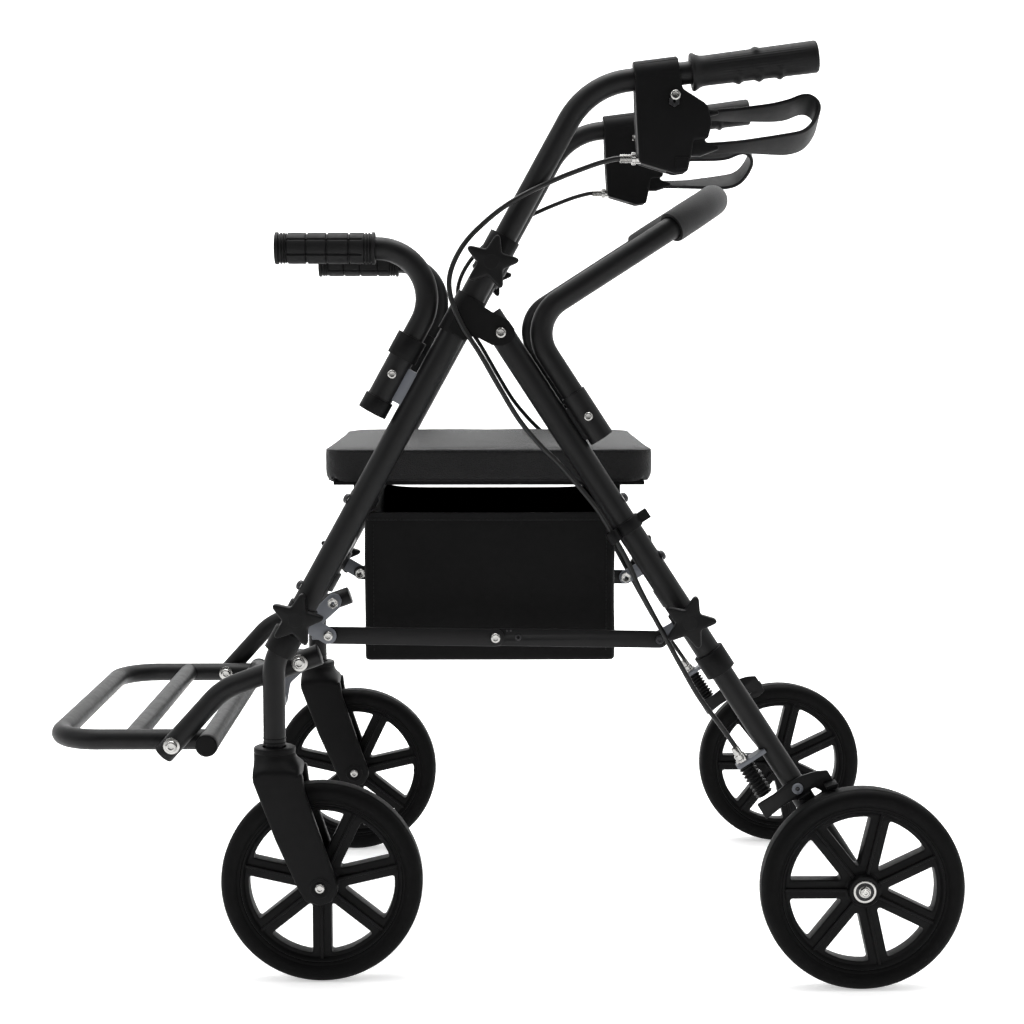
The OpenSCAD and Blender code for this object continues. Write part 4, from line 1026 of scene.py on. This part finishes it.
# ------------------------------------------------------------------ visible screw heads
for sd, mir in SIDES:
    p = Part()
    p.add(button_head(front(40.6, 313.9, -267.5), -Y, 5.4, 3.7))
    p.add(hex_nut(front(40.6, 313.9, -232.0), Y, 6.7, 4.8, 0.3))
    p.add(button_head(front(-32.2, 228.4, -264.4), -Y, 4.5, 3.2))
    p.add(button_head((-164.8, -254.8, 345.6), -Y, 5.0, 3.5))
    p.add(hex_nut((-164.8, -239.2, 345.6), Y, 6.4, 4.2, 0.3))
    build("look_front_bolts_" + sd, p.get(), M_STEEL, "front_frame", mir, 34, ("pivot_bolts",) if sd == "left" else ())
    p = Part()
    p.add(button_head(rear(26.6, 533.7, -264.4), -Y, 4.5, 3.2))
    p.add(hex_nut((161.8, -240.5, 340.2), Y, 6.4, 4.2, 0.3))
    build("look_rear_bolts_" + sd, p.get(), M_STEEL, "rear_frame", mir, 34, ("rear_screws",) if sd == "left" else ())
    p = Part()
    for s in (3.0, 100.2):
        p.add(lathe([(0, 12.6), (4.9, 12.6), (5.2, 13.2), (4.9, 14.8), (3.6, 16.2), (1.6, 16.9), (0, 17.0)], front(0, s, -LEG_Y), -NF, 28))
    build("look_front_leg_screws_" + sd, p.get(), M_NUT, "front_frame", mir, 34, ("front_screws",) if sd == "left" else ())
    p = Part()
    r_up = (FZ + 100.2 * math.cos(FL) - AZ) / math.cos(RL)
    for s in (379.2, r_up):
        p.add(lathe([(0, 12.6), (4.9, 12.6), (5.2, 13.2), (4.9, 14.8), (3.6, 16.2), (1.6, 16.9), (0, 17.0)], rear(0, s, -LEG_Y), NR, 28))
    build("rear_leg_screws_" + sd, p.get(), M_NUT, "rear_frame", mir, 34)
    # folding link halves: flat bars with round ends, an eyelet and two small pips
    def bar(a, b, hw):
        a, b = np.array(a, float), np.array(b, float)
        t = math.atan2(b[1] - a[1], b[0] - a[0])
        return np.array([(a[0] + hw * math.cos(t + q), a[1] + hw * math.sin(t + q)) for q in np.linspace(PI / 2, 1.5 * PI, 13)]
                        + [(b[0] + hw * math.cos(t + q), b[1] + hw * math.sin(t + q)) for q in np.linspace(-PI / 2, PI / 2, 13)])
    # bracket ears, welded to the legs: outside the link in front, inside it behind
    build("look_front_link_bracket_" + sd, slab(bar((-194.0, 362.4), (-164.8, 345.6), 8.1), -254.8, -251.8, 0.5, 2, (), xz), M_GREY, "front_frame", mir, 34,
          ("front_link_brackets",) if sd == "left" else ())
    build("link_rear_pin_" + sd, button_head((161.8, -247.5, 340.2), -Y, 4.2, 2.6), M_NUT, "rear_frame", mir, 34)
    build("look_rear_link_bracket_" + sd, slab(bar((161.8, 340.2), (192.6, 358.0), 8.1), -243.6, -240.6, 0.5, 2, (), xz), M_GREY, "rear_frame", mir, 34,
          ("rear_link_brackets",) if sd == "left" else ())
    build("look_side_link_front_" + sd, slab(bar((-164.8, 345.6), (-0.4, 342.9), 8.5), -251.5, -248, 0.6, 2, (), xz), M_COAT, "side_link_front", mir, 34,
          ("side_links_front",) if sd == "left" else ())
    p = Part()
    eye = [(22.0 + 1.8 * math.cos(t), 342.5 + 1.8 * math.sin(t)) for t in np.linspace(0, 2 * PI, 21)[:-1]]
    p.add(slab(bar((-0.4, 342.9), (161.8, 340.2), 8.5), -247.4, -243.9, 0.6, 2, (eye,), xz))
    p.add(lathe([(0, 0), (6.2, 0), (6.2, 4.6), (5.7, 5.1), (0, 5.1)], (-0.4, -245, 342.9), Y, 36))
    build("look_side_link_rear_" + sd, p.get(), M_COAT, "side_link_rear", mir, 34, ("side_links_rear",) if sd == "left" else ())
    p = Part()
    p.add(lathe(ring_profile(1.7, 3.1, -0.2, 0.8, 0.3, 2), (22.0, -247.4, 342.5), -Y, 28))
    for x in (10.8, 14.7):
        p.add(lathe([(0, -0.2), (1.0, -0.2), (1.0, 0.3), (0.6, 0.6), (0, 0.7)], (x, -247.4, 349.4), -Y, 14))
    build("link_eyelet_" + sd, p.get(), M_NUT, "side_link_rear", mir, 34)
    p = Part()
    p.add(button_head((-0.4, -251.6, 342.9), -Y, 5.0, 3.5))
    build("link_middle_bolt_" + sd, p.get(), M_STEEL, "side_link_front", mir, 34)
    p = Part()
    p.add(hex_nut((-0.4, -239.8, 342.9), Y, 6.4, 4.0, 0.3))
    build("link_middle_nut_" + sd, p.get(), M_STEEL, "side_link_rear", mir, 34)
    p = Part()
    p.add(washer((-195.5, -231.1, 314.7), -Y, 8.3, 1.4, 4.0))
    p.add(button_head((-195.5, -232.3, 314.7), -Y, 5.9, 4.0))
    p.add(hex_nut((-195.5, -199.2, 314.7), Y, 6.8, 4.4, 0.3))
    build("footrest_arm_bolt_" + sd, p.get(), M_STEEL, "front_lower", mir, 34)
    p = Part()
    p.add(washer((-324, -230.1, 231), -Y, 8.3, 1.4, 4.0))
    p.add(button_head((-324, -231.3, 231), -Y, 5.9, 4.0))
    p.add(washer((-324, -186.8, 231), Y, 8.2, 1.4, 4.0))
    p.add(button_head((-324, -185.6, 231), Y, 5.9, 4.0))
    build("foot_loop_bolt_" + sd, p.get(), M_STEEL, "footrest_arm", mir, 34)
    # bent arm between the two hinges, plugged at both ends
    a0, a1, a2 = np.array([-324.0, 231.0]), np.array([-273.6, 286.6]), np.array([-195.5, 314.7])
    d1, d2 = unit(a1 - a0), unit(a2 - a1)
    turn = math.acos(d1 @ d2)
    cut = 60 * math.tan(turn / 2)
    side = np.array([d1[1], -d1[0]])
    hub = a1 - d1 * cut + side * 60
    line = [(a0 - d1 * (15.5 - e), r) for e, r in ((0, 9.2), (0.3, 9.9), (0.9, 10.35), (1.8, 10.5))]
    line += [(a0 + (a1 - d1 * cut - a0) * t, 10.5) for t in np.linspace(0, 1, 8)[:-1]]
    line += [(hub + 60 * (d1 * math.sin(t) - side * math.cos(t)), 10.5) for t in np.linspace(0, turn, 12)]
    line += [(a1 + d2 * cut + (a2 - a1 - d2 * cut) * t, 10.5) for t in np.linspace(0, 1, 8)[1:]]
    line += [(a2 + d2 * (21 - e), r) for e, r in ((1.8, 10.5), (0.9, 10.35), (0.3, 9.9), (0, 9.2))]
    path = np.array([(q[0], -220.0, q[1]) for q, r in line])
    build("look_footrest_arm_" + sd, sweep(path, lambda i: circle(line[i][1], 40), ref=Y), M_COAT, "footrest_arm", mir, 40, ("footrest_arms",) if sd == "left" else ())
    # bracket that carries the arm, welded to the inside of the stem
    p = Part()
    ear = rounded([(-202.5, 321.6), (-198.0, 325.4), (-189.0, 324.2), (-185.2, 316.5), (-188.2, 307.6), (-207.0, 290.5), (-210.5, 269.5), (-221.5, 269.5), (-224.5, 300.0)],
                  [5, 6, 6, 6, 5, 9, 3, 3, 8], 5)
    p.add(slab(ear, -208.7, -204.7, 0.6, 2, (), xz))
    weld = rounded([(-222, 268.5), (-211, 268.5), (-211, 279), (-222, 279)], 1.5, 3)
    p.add(slab(weld, -244.5, -206.5, 0.8, 2, (), xz))
    build("look_footrest_bracket_" + sd, p.get(), M_GREY, "front_lower", mir, 34, ("footrest_brackets",) if sd == "left" else ())
    # caps on the stop bar
    p = Part()
    p.add(lathe([(0, 232.8), (9.6, 232.6), (11.0, 231.4), (11.35, 229.6), (11.35, 222.5), (11.05, 222.0), (10.6, 222.0)], (-289.3, 0, 231), -Y, 48))
    build("stop_bar_cap_" + sd, p.get(), M_PLASTIC, "foot_loop", mir, 34)

# ------------------------------------------------------------------ seat cushion
def cushion_shape(x0, x1, hy, z0, z1, corner, edge_top, edge_low, nx=56):
    """Rounded pad as a stack of rounded rectangles with edge radii."""
    def ring(inset, z):
        c = max(corner - inset, 2.0)
        pts = []
        ax, bx, ay = x0 + inset, x1 - inset, hy - inset
        for cx, cy, a0 in ((bx - c, ay - c, 0), (ax + c, ay - c, PI / 2), (ax + c, -ay + c, PI), (bx - c, -ay + c, 1.5 * PI)):
            for k in range(9):
                a = a0 + PI / 2 * k / 8
                pts.append((cx + c * math.cos(a), cy + c * math.sin(a), z))
        return pts
    rings = []
    for k in range(6):
        a = PI / 2 * k / 5
        rings.append(ring(edge_low * (1 - math.sin(a)), z0 + edge_low * (1 - math.cos(a))))
    for k in range(6):
        a = PI / 2 * k / 5
        rings.append(ring(edge_top * (1 - math.cos(a)), z1 - edge_top * (1 - math.sin(a))))
    verts = [q for r in rings for q in r]
    m = len(rings[0])
    faces = []
    for i in range(len(rings) - 1):
        for k in range(m):
            n = (k + 1) % m
            faces.append((i * m + k, i * m + n, (i + 1) * m + n, (i + 1) * m + k))
    faces.append(tuple(range(m))[::-1])
    faces.append(tuple((len(rings) - 1) * m + k for k in range(m)))
    return np.array(verts), faces


SX0, SX1, SHY, SZ0, SZ1 = -170.4, 157.0, 189.0, 492.7, 525.7
cv, cf = cushion_shape(SX0 + 1.0, SX1 - 1.0, SHY - 1.0, SZ0 + 0.2, SZ1 - 1.6, 22, 2.6, 2.0)
cushion = mesh_obj("look_seat_cushion", cv, cf, M_LEATHER, False, 60)
bpy.context.view_layer.objects.active = cushion
rm = cushion.modifiers.new("remesh", "REMESH")
rm.mode = "VOXEL"
rm.voxel_size = 0.004
dg = bpy.context.evaluated_depsgraph_get()
me = bpy.data.meshes.new_from_object(cushion.evaluated_get(dg))
cushion.modifiers.clear()
cushion.data = me
rest = np.array([v.co for v in me.vertices])
cl = cushion.modifiers.new("cloth", "CLOTH")
st = cl.settings
st.quality = 5
st.mass = 0.3
st.use_pressure = True
st.uniform_pressure_force = 4.0
st.effector_weights.gravity = 0.0
st.tension_stiffness = 15
st.compression_stiffness = 15
st.shear_stiffness = 5
st.bending_stiffness = 0.5
cl.point_cache.frame_start = 1
cl.point_cache.frame_end = 22
for f in range(1, 21):
    scene.frame_set(f)
dg = bpy.context.evaluated_depsgraph_get()
sim = cushion.evaluated_get(dg).to_mesh()
moved = np.array([v.co for v in sim.vertices])
cushion.modifiers.clear()
scene.frame_set(1)
if len(moved) == len(rest):
    d = moved - rest
    ln = np.linalg.norm(d, axis=1, keepdims=True)
    d *= np.minimum(1.0, 0.0022 / np.maximum(ln, 1e-9))
    new = rest + d
else:
    new = rest.copy()
# the filled cover is brought back to the cut size, so that it meets the board all round
lo, hi = new.min(0), new.max(0)
want_lo, want_hi = np.array([SX0 - 2.6, -SHY - 0.5, SZ0]) / 1000, np.array([SX1 + 2.8, SHY + 0.5, SZ1 + 0.3]) / 1000
new = want_lo + (new - lo) * (want_hi - want_lo) / (hi - lo)
# the sewn top edge is tight: draw the rounding of the cover out towards the seam
below = np.clip((want_hi[2] - new[:, 2]) * 1000, 0, None)
gap_y = np.clip((want_hi[1] - np.abs(new[:, 1])) * 1000, 0, None)
gap_a, gap_b = np.clip((new[:, 0] - want_lo[0]) * 1000, 0, None), np.clip((want_hi[0] - new[:, 0]) * 1000, 0, None)
near_top = np.clip(1 - below / 9.0, 0, 1)
for gap, axis, way in ((gap_y, 1, np.sign(new[:, 1])), (gap_a, 0, -1.0), (gap_b, 0, 1.0)):
    tight = near_top * np.clip(1 - gap / 9.0, 0, 1) ** 0.5
    new[:, axis] += way * 0.62 * tight * gap / 1000
    new[:, 2] += 0.62 * tight * below / 1000
# crown the top a little, keep the underside flat where it lies on the board, and let the sides draw in between the corners
u =(new[:, 0] * 1000 - (SX0 + SX1) / 2) / ((SX1 - SX0) / 2)
v = new[:, 1] * 1000 / SHY
top = np.clip((new[:, 2] * 1000 - 506) / 18, 0, 1)
new[:, 2] += top * 0.0034 * np.clip(1 - np.abs(u) ** 2.6, 0, 1) * np.clip(1 - np.abs(v) ** 2.6, 0, 1)
new[:, 2] = np.maximum(new[:, 2], SZ0 / 1000 + 0.0001)
new[:, 2] = np.minimum(new[:, 2], SZ1 / 1000 + 0.0030)
# the cover's lower edge hangs a little way down round the board
out = np.maximum(np.abs(new[:, 1]) * 1000 - 185.0, np.maximum(new[:, 0] * 1000 - 153.4, -166.2 - new[:, 0] * 1000))
new[:, 2] -= 0.0054 * np.clip(out / 1.5, 0, 1) * np.clip((SZ0 + 14.0 - new[:, 2] * 1000) / 12.0, 0, 1)
# and turns in below, most at the ends
low = np.clip((SZ0 + 8.0 - new[:, 2] * 1000) / 12.0, 0, 1) ** 2
new[:, 0] -= np.sign(u) * 0.0062 * low * np.clip((np.abs(u) - 0.93) / 0.07, 0, 1)
new[:, 1] -= np.sign(v) * 0.0020 * low * np.clip((np.abs(v) - 0.95) / 0.05, 0, 1)
wr = np.array([noise.noise(Vector((a * 34, b * 34, c * 60 + 4.0))) + 0.5 * noise.noise(Vector((a * 90, b * 90, c * 90))) for a, b, c in new])
new[:, 2] += 0.00045 * wr * top
side = np.clip((np.abs(v) - 0.9) / 0.1, 0, 1)
new[:, 1] += np.sign(v) * side * (-0.0012 * (1 - np.abs(u) ** 2) + 0.00035 * wr)
ends = np.clip((np.abs(u) - 0.9) / 0.1, 0, 1)
new[:, 0] += np.sign(u) * ends * (-0.0012 * (1 - np.abs(v) ** 2) + 0.00035 * wr)
me = cushion.data
me.vertices.foreach_set("co", new.astype(np.float32).ravel())
me.update()
sub = cushion.modifiers.new("sub", "SUBSURF")
sub.levels = sub.render_levels = 1
dg = bpy.context.evaluated_depsgraph_get()
me2 = bpy.data.meshes.new_from_object(cushion.evaluated_get(dg))
cushion.modifiers.clear()
cushion.data = me2
me2.materials.clear()
me2.materials.append(M_LEATHER)
shade(me2, 80)
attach(cushion, "seat")
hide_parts("seat_cushion")

# welted seams laid on the cushion's own surface: one near the top edge and one near the board
bm = bmesh.new()
bm.from_mesh(cushion.data)
tree = BVHTree.FromBMesh(bm)


def seam_path(z, corner=24.0, per=10):
    pts = []
    cx0, cx1, cy = SX0 + corner, SX1 - corner, SHY - corner
    path = []
    for x in np.linspace(cx0, cx1, 60):
        path.append((x, -SHY, 0, -1))
    for a in np.linspace(-PI / 2, 0, 12)[1:-1]:
        path.append((cx1 + corner * math.cos(a), -cy + corner * math.sin(a), math.cos(a), math.sin(a)))
    for y in np.linspace(-cy, cy, 66):
        path.append((SX1, y, 1, 0))
    for a in np.linspace(0, PI / 2, 12)[1:-1]:
        path.append((cx1 + corner * math.cos(a), cy + corner * math.sin(a), math.cos(a), math.sin(a)))
    for x in np.linspace(cx1, cx0, 60):
        path.append((x, SHY, 0, 1))
    for a in np.linspace(PI / 2, PI, 12)[1:-1]:
        path.append((cx0 + corner * math.cos(a), cy + corner * math.sin(a), math.cos(a), math.sin(a)))
    for y in np.linspace(cy, -cy, 66):
        path.append((SX0, y, -1, 0))
    for a in np.linspace(PI, 1.5 * PI, 12)[1:-1]:
        path.append((cx0 + corner * math.cos(a), -cy + corner * math.sin(a), math.cos(a), math.sin(a)))
    for x, y, nx, ny in path:
        o = Vector(((x + nx * 40) / 1000, (y + ny * 40) / 1000, z / 1000))
        hit = tree.ray_cast(o, Vector((-nx, -ny, 0)))
        q = hit[0] if hit[0] is not None else Vector((x / 1000, y / 1000, z / 1000))
        pts.append(np.array(q) * 1000)
    p = np.array(pts)
    for _ in range(3):
        p = (np.roll(p, 1, 0) + 2 * p + np.roll(p, -1, 0)) / 4
    return p


for name, z, r in (("seat_seam_top", 523.4, 1.05), ("seat_seam_low", 493.4, 1.0)):
    sp = seam_path(z)
    o = mesh_obj(name, *sweep(sp, circle(r, 10), closed=True), M_LEATHER, False, 60)
    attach(o, "seat")
bm.free()

# ------------------------------------------------------------------ storage bag
BX0, BX1, BHY, BZ0, BZ1 = -132.8, 121.3, 185.0, 309.2, 460.0
BAR_F, BAR_R, BAR_Z = FX + 100.2 * math.sin(FL), 0.0, FZ + 100.2 * math.cos(FL)
BAR_R = RX - (BAR_Z - AZ) / math.cos(RL) * math.sin(RL)


def bag_ring(z, inset, corner, n_long=64, n_short=44):
    """Points round the bag at height z."""
    x0, x1, hy = BX0 + inset, BX1 - inset, BHY - inset
    pts = []
    c = corner
    def line(ax, ay, bx, by, n):
        for k in range(n):
            t = k / n
            pts.append((ax + (bx - ax) * t, ay + (by - ay) * t))
    def arc(cx, cy, a0, n=8):
        for k in range(n):
            a = a0 + PI / 2 * k / n
            pts.append((cx + c * math.cos(a), cy + c * math.sin(a)))
    line(x0 + c, -hy, x1 - c, -hy, n_short)
    arc(x1 - c, -hy + c, -PI / 2)
    line(x1, -hy + c, x1, hy - c, n_long)
    arc(x1 - c, hy - c, 0)
    line(x1 - c, hy, x0 + c, hy, n_short)
    arc(x0 + c, hy - c, PI / 2)
    line(x0, hy - c, x0, -hy + c, n_long)
    arc(x0 + c, -hy + c, PI)
    return np.array([(x, y, z) for x, y in pts])


def bag_warp(p):
    """Slack of the cloth: the walls swell low down, the rim sags between the tubes, the floor hangs, small ripples everywhere."""
    q = p.copy()
    mx, hx = (BX0 + BX1) / 2, (BX1 - BX0) / 2
    for i in range(len(p)):
        x, y, z = p[i]
        u, v = (x - mx) / hx, y / BHY
        t = (z - BZ0) / (BZ1 - BZ0)
        tc = max(0.0, min(1.0, t))
        belly = math.sin(PI * min(1.0, max(0.0, t)) ** 0.72)
        on_side = smooth_step(0.93, 1.0, abs(v))
        on_end = smooth_step(0.93, 1.0, abs(u))
        rip = noise.noise(Vector((x * 0.012, y * 0.012, z * 0.016 + 2.0))) + 0.45 * noise.noise(Vector((x * 0.035, y * 0.035, z * 0.03)))
        out = 1.8 * belly * (1 - u * u) + 1.0 * rip * (0.3 + 0.7 * belly)
        q[i, 1] += math.copysign(on_side, v) * out
        q[i, 0] += math.copysign(on_end, u) * (1.5 * belly * (1 - v * v) + 0.9 * rip * (0.2 + 0.8 * belly)) * (1 - 0.85 * smooth_step(0.8, 1, tc))
        q[i, 2] -= (1 - tc) ** 3 * 1.6 * (1 - u * u) * (1 - v * v)
        q[i, 2] -= smooth_step(0.75, 1.0, tc) * on_side * (0.7 * (1 - u * u) if v < 0 else 5.0 * (1 - u ** 8))
    return q


levels = []
rad_low = 4.0
for k in range(7):
    a = PI / 2 * k / 6
    levels.append((BZ0 + rad_low * (1 - math.cos(a)), rad_low * (1 - math.sin(a))))
for z in np.linspace(BZ0 + rad_low, BZ1, 34)[1:]:
    levels.append((z, 0.0))
rings = [bag_ring(z, ins, max(2.5, 4.5 - ins * 0.5)) for z, ins in levels]
m_b = len(rings[0])
verts = np.vstack(rings)
faces = []
for i in range(len(rings) - 1):
    for k in range(m_b):
        n = (k + 1) % m_b
        faces.append((i * m_b + k, i * m_b + n, (i + 1) * m_b + n, (i + 1) * m_b + k))
# floor: shrink the lowest ring towards the middle in steps
prev = list(range(m_b))
mx = (BX0 + BX1) / 2
low = rings[0]
for f in (0.93, 0.84, 0.72, 0.58, 0.42, 0.24, 0.1):
    ring = np.stack([mx + (low[:, 0] - mx) * f, low[:, 1] * f, low[:, 2]], 1)
    start = len(verts)
    verts = np.vstack([verts, ring])
    cur = list(range(start, start + m_b))
    for k in range(m_b):
        n = (k + 1) % m_b
        faces.append((prev[n], prev[k], cur[k], cur[n]))
    prev = cur
start = len(verts)
verts = np.vstack([verts, [[mx, 0, BZ0]]])
for k in range(m_b):
    faces.append((prev[(k + 1) % m_b], prev[k], start))
flat_xyz = verts.copy()
verts = bag_warp(verts)
bag = mesh_obj("look_storage_bag", verts, faces, M_BAG, False, 60, fix=False)


def bag_uv(me, src):
    """UV in metres: across and up on the walls, plan on the floor."""
    uvl = me.uv_layers.new(name="UVMap")
    for poly in me.polygons:
        nrm = poly.normal
        ax = max(range(3), key=lambda i: abs(nrm[i]))
        for li in poly.loop_indices:
            p = src[me.loops[li].vertex_index] / 1000
            uvl.data[li].uv = (p[1], p[2]) if ax == 0 else ((p[0], p[2]) if ax == 1 else (p[0], p[1]))


bm = bmesh.new()
bm.from_mesh(bag.data)
bmesh.ops.recalc_face_normals(bm, faces=bm.faces)
bm.to_mesh(bag.data)
bm.free()
bag_uv(bag.data, flat_xyz)


def applied(o):
    dg = bpy.context.evaluated_depsgraph_get()
    me = bpy.data.meshes.new_from_object(o.evaluated_get(dg))
    o.modifiers.clear()
    o.data = me
    return o


so = bag.modifiers.new("cloth_thickness", "SOLIDIFY")
so.thickness = 0.0013
so.offset = -1.0
so.use_even_offset = True
applied(bag)
shade(bag.data, 60)


def bag_piece(o):
    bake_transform(o)


bag_piece(bag)
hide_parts("storage_bag")

# top binding round the rim
rim_src = bag_ring(BZ1, 0.0, 4.5)
rim = bag_warp(rim_src)
sec = rounded([(-7.0, -1.6), (1.4, -1.6), (1.4, 1.6), (-7.0, 1.6)], 0.9, 3)
rim_v, rim_f = sweep(rim, [(a, b) for a, b in sec], closed=True, fixed_up=Z)
binding = mesh_obj("bag_binding", rim_v, rim_f, M_HEM, False, 50)
bag_uv(binding.data, np.array([v.co for v in binding.data.vertices]) * 1000)
bag_piece(binding)

# sleeves round the upper cross tubes, with the webs that hang the bag from them
for nm, bx, wall_x, sgn in (("front", BAR_F, BX0, 1), ("rear", BAR_R, BX1, -1)):
    ys = np.linspace(-150, 150, 61)
    path = np.array([(bx, y, BAR_Z) for y in ys])
    def sl_sec(i, ys=ys):
        e = min(i, len(ys) - 1 - i)
        out = []
        for t in np.linspace(0, 2 * PI, 33)[:-1]:
            r = 12.5 + 0.5 * noise.noise(Vector((math.cos(t) * 1.5, math.sin(t) * 1.5, ys[i] * 0.03))) + (0.35 if e < 2 else 0.0)
            out.append((r * math.cos(t), r * math.sin(t)))
        return out
    sv, sf = sweep(path, sl_sec, ref=Z)
    sleeve = mesh_obj("bag_sleeve_" + nm, sv, sf, M_BAG, False, 60)
    bag_uv(sleeve.data, np.array([v.co for v in sleeve.data.vertices]) * 1000)
    bag_piece(sleeve)
    p = Part()
    gx = bx + (wall_x - bx) * 0.75
    web_top = np.array([(bx - sgn * 10.6 if False else gx, y, BAR_Z - 6) for y in ys])
    web_low = np.array([(wall_x, y, BZ1 - 10) for y in ys])
    pv, pf = [], []
    rows = 7
    for r in range(rows):
        t = r / (rows - 1)
        for k in range(len(ys)):
            q = web_low[k] * (1 - t) + web_top[k] * t
            q = q + np.array([0.5 * noise.noise(Vector((ys[k] * 0.03, t * 2, 1.7))), 0, 0])
            pv.append(q)
    for r in range(rows - 1):
        for k in range(len(ys) - 1):
            a = r * len(ys) + k
            pf.append((a, a + 1, a + len(ys) + 1, a + len(ys)))
    web = mesh_obj("bag_hanger_" + nm, pv, pf, M_BAG, False, 60)
    bag_uv(web.data, np.array(pv))
    so = web.modifiers.new("cloth_thickness", "SOLIDIFY")
    so.thickness = 0.0014
    so.offset = 0.0
    applied(web)
    shade(web.data, 60)
    bag_piece(web)


# stitches: short thread runs along a line, lying on the cloth
def stitches(name, pts, normal_of, mat, pitch=4.2, length=2.9, r=0.34):
    p = Part()
    pts = np.asarray(pts, float)
    d = np.concatenate([[0], np.cumsum(np.linalg.norm(np.diff(pts, axis=0), axis=1))])
    total = d[-1]
    k = 0
    while (k + 1) * pitch < total:
        a, b = k * pitch + 0.5, k * pitch + 0.5 + length
        seg = np.array([[np.interp(s, d, pts[:, i]) for i in range(3)] for s in (a, (a + b) / 2, b)])
        nrm = normal_of(seg[1])
        seg[1] += nrm * r * 0.9
        seg[0] -= nrm * r * 0.4
        seg[2] -= nrm * r * 0.4
        p.add(sweep(seg, circle(r, 6)))
        k += 1
    return mesh_obj(name, *p.get(), mat, False, 70)


def out_of_bag(q):
    u, v = (q[0] - mx) / ((BX1 - BX0) / 2), q[1] / BHY
    return np.array([math.copysign(1, u), 0, 0]) if abs(u) > abs(v) else np.array([0, math.copysign(1, v), 0])


near = [k for k in range(len(rim_src))]
row = rim + np.array([out_of_bag(q) * 1.75 for q in rim]) - np.array([0, 0, 5.6])
st = stitches("bag_rim_stitches", np.vstack([row, row[:1]]), out_of_bag, M_THREAD)
bag_piece(st)
for sd, sgn in (("near", -1), ("far", 1)):
    for e, xx in (("front", BX0 + 9.0), ("rear", BX1 - 9.0)):
        col = np.array([(xx, sgn * BHY, z) for z in np.linspace(BZ0 + 10, BZ1 - 9, 40)])
        col = bag_warp(col)
        col[:, 1] += sgn * 0.15
        st = stitches("bag_seam_stitches_" + sd + "_" + e, col, lambda q, s=sgn: np.array([0.0, s, 0.0]), M_THREAD)
        bag_piece(st)

# ------------------------------------------------------------------ stage and light
fl_m, nt, b = new_mat("studio_floor")
vec = coords(nt)
nt.links.new(ramp(nt, noise_tex(nt, vec, 1.2, 2.0), (0.90, 0.90, 0.90), (0.93, 0.93, 0.93)), b.inputs["Base Color"])
b.inputs["Roughness"].default_value = 0.75
b.inputs["Specular IOR Level"].default_value = 0.15
b.inputs["Emission Color"].default_value = (1, 1, 1, 1)
b.inputs["Emission Strength"].default_value = 0.5
pts, fcs = [], []
prof = [(-14.0, 0.0), (2.2, 0.0)]
for k in range(1, 17):
    a = PI / 2 * k / 16
    prof.append((2.2 + 1.6 * math.sin(a), 1.6 * (1 - math.cos(a))))
prof.append((3.8, 6.0))
for x in (-14.0, 14.0):
    pts += [(x, y, z - 0.0002) for y, z in prof]
for k in range(len(prof) - 1):
    fcs.append((k, k + 1, len(prof) + k + 1, len(prof) + k))
me = bpy.data.meshes.new("studio_floor")
me.from_pydata(pts, [], fcs)
me.materials.append(fl_m)
me.polygons.foreach_set("use_smooth", [True] * len(me.polygons))
floor = link(bpy.data.objects.new("studio_floor", me))

world = bpy.data.worlds.new("studio")
scene.world = world
world.use_nodes = True
wt = world.node_tree
bg = wt.nodes["Background"]
bg.inputs["Color"].default_value = (1, 1, 1, 1)
# a white room that falls off to a dark wall behind the photographer
wsep = wt.nodes.new("ShaderNodeSeparateXYZ")
wt.links.new(wt.nodes.new("ShaderNodeTexCoord").outputs["Generated"], wsep.inputs[0])
wmap = wt.nodes.new("ShaderNodeMapRange")
wmap.interpolation_type = "SMOOTHSTEP"
wmap.inputs["From Min"].default_value = -0.85
wmap.inputs["From Max"].default_value = 0.25
wmap.inputs["To Min"].default_value = 0.07
wmap.inputs["To Max"].default_value = 0.95
wt.links.new(wsep.outputs["Y"], wmap.inputs["Value"])
wt.links.new(wmap.outputs["Result"], bg.inputs["Strength"])


def area(name, loc, target, size, power, size_y=None):
    d = bpy.data.lights.new(name, "AREA")
    d.shape = "RECTANGLE"
    d.size = size
    d.size_y = size_y or size
    d.energy = power
    o = link(bpy.data.objects.new(name, d))
    o.location = loc
    o.rotation_euler = (Vector(target) - Vector(loc)).to_track_quat("-Z", "Y").to_euler()
    return o


area("key", (-2.6, -2.0, 2.6), (0, 0, 0.5), 1.5, 23)
area("fill", (3.0, -1.6, 1.8), (0, 0, 0.45), 1.4, 10)
area("top", (0, 0.2, 3.4), (0, 0, 0.4), 2.4, 62)
area("back_wash", (0, 1.2, 3.4), (0, 3.4, 1.0), 3.0, 110)
scene.view_settings.view_transform = "Standard"
scene.view_settings.look = "None"
scene.view_settings.exposure = 0.0
scene.view_settings.gamma = 1.0
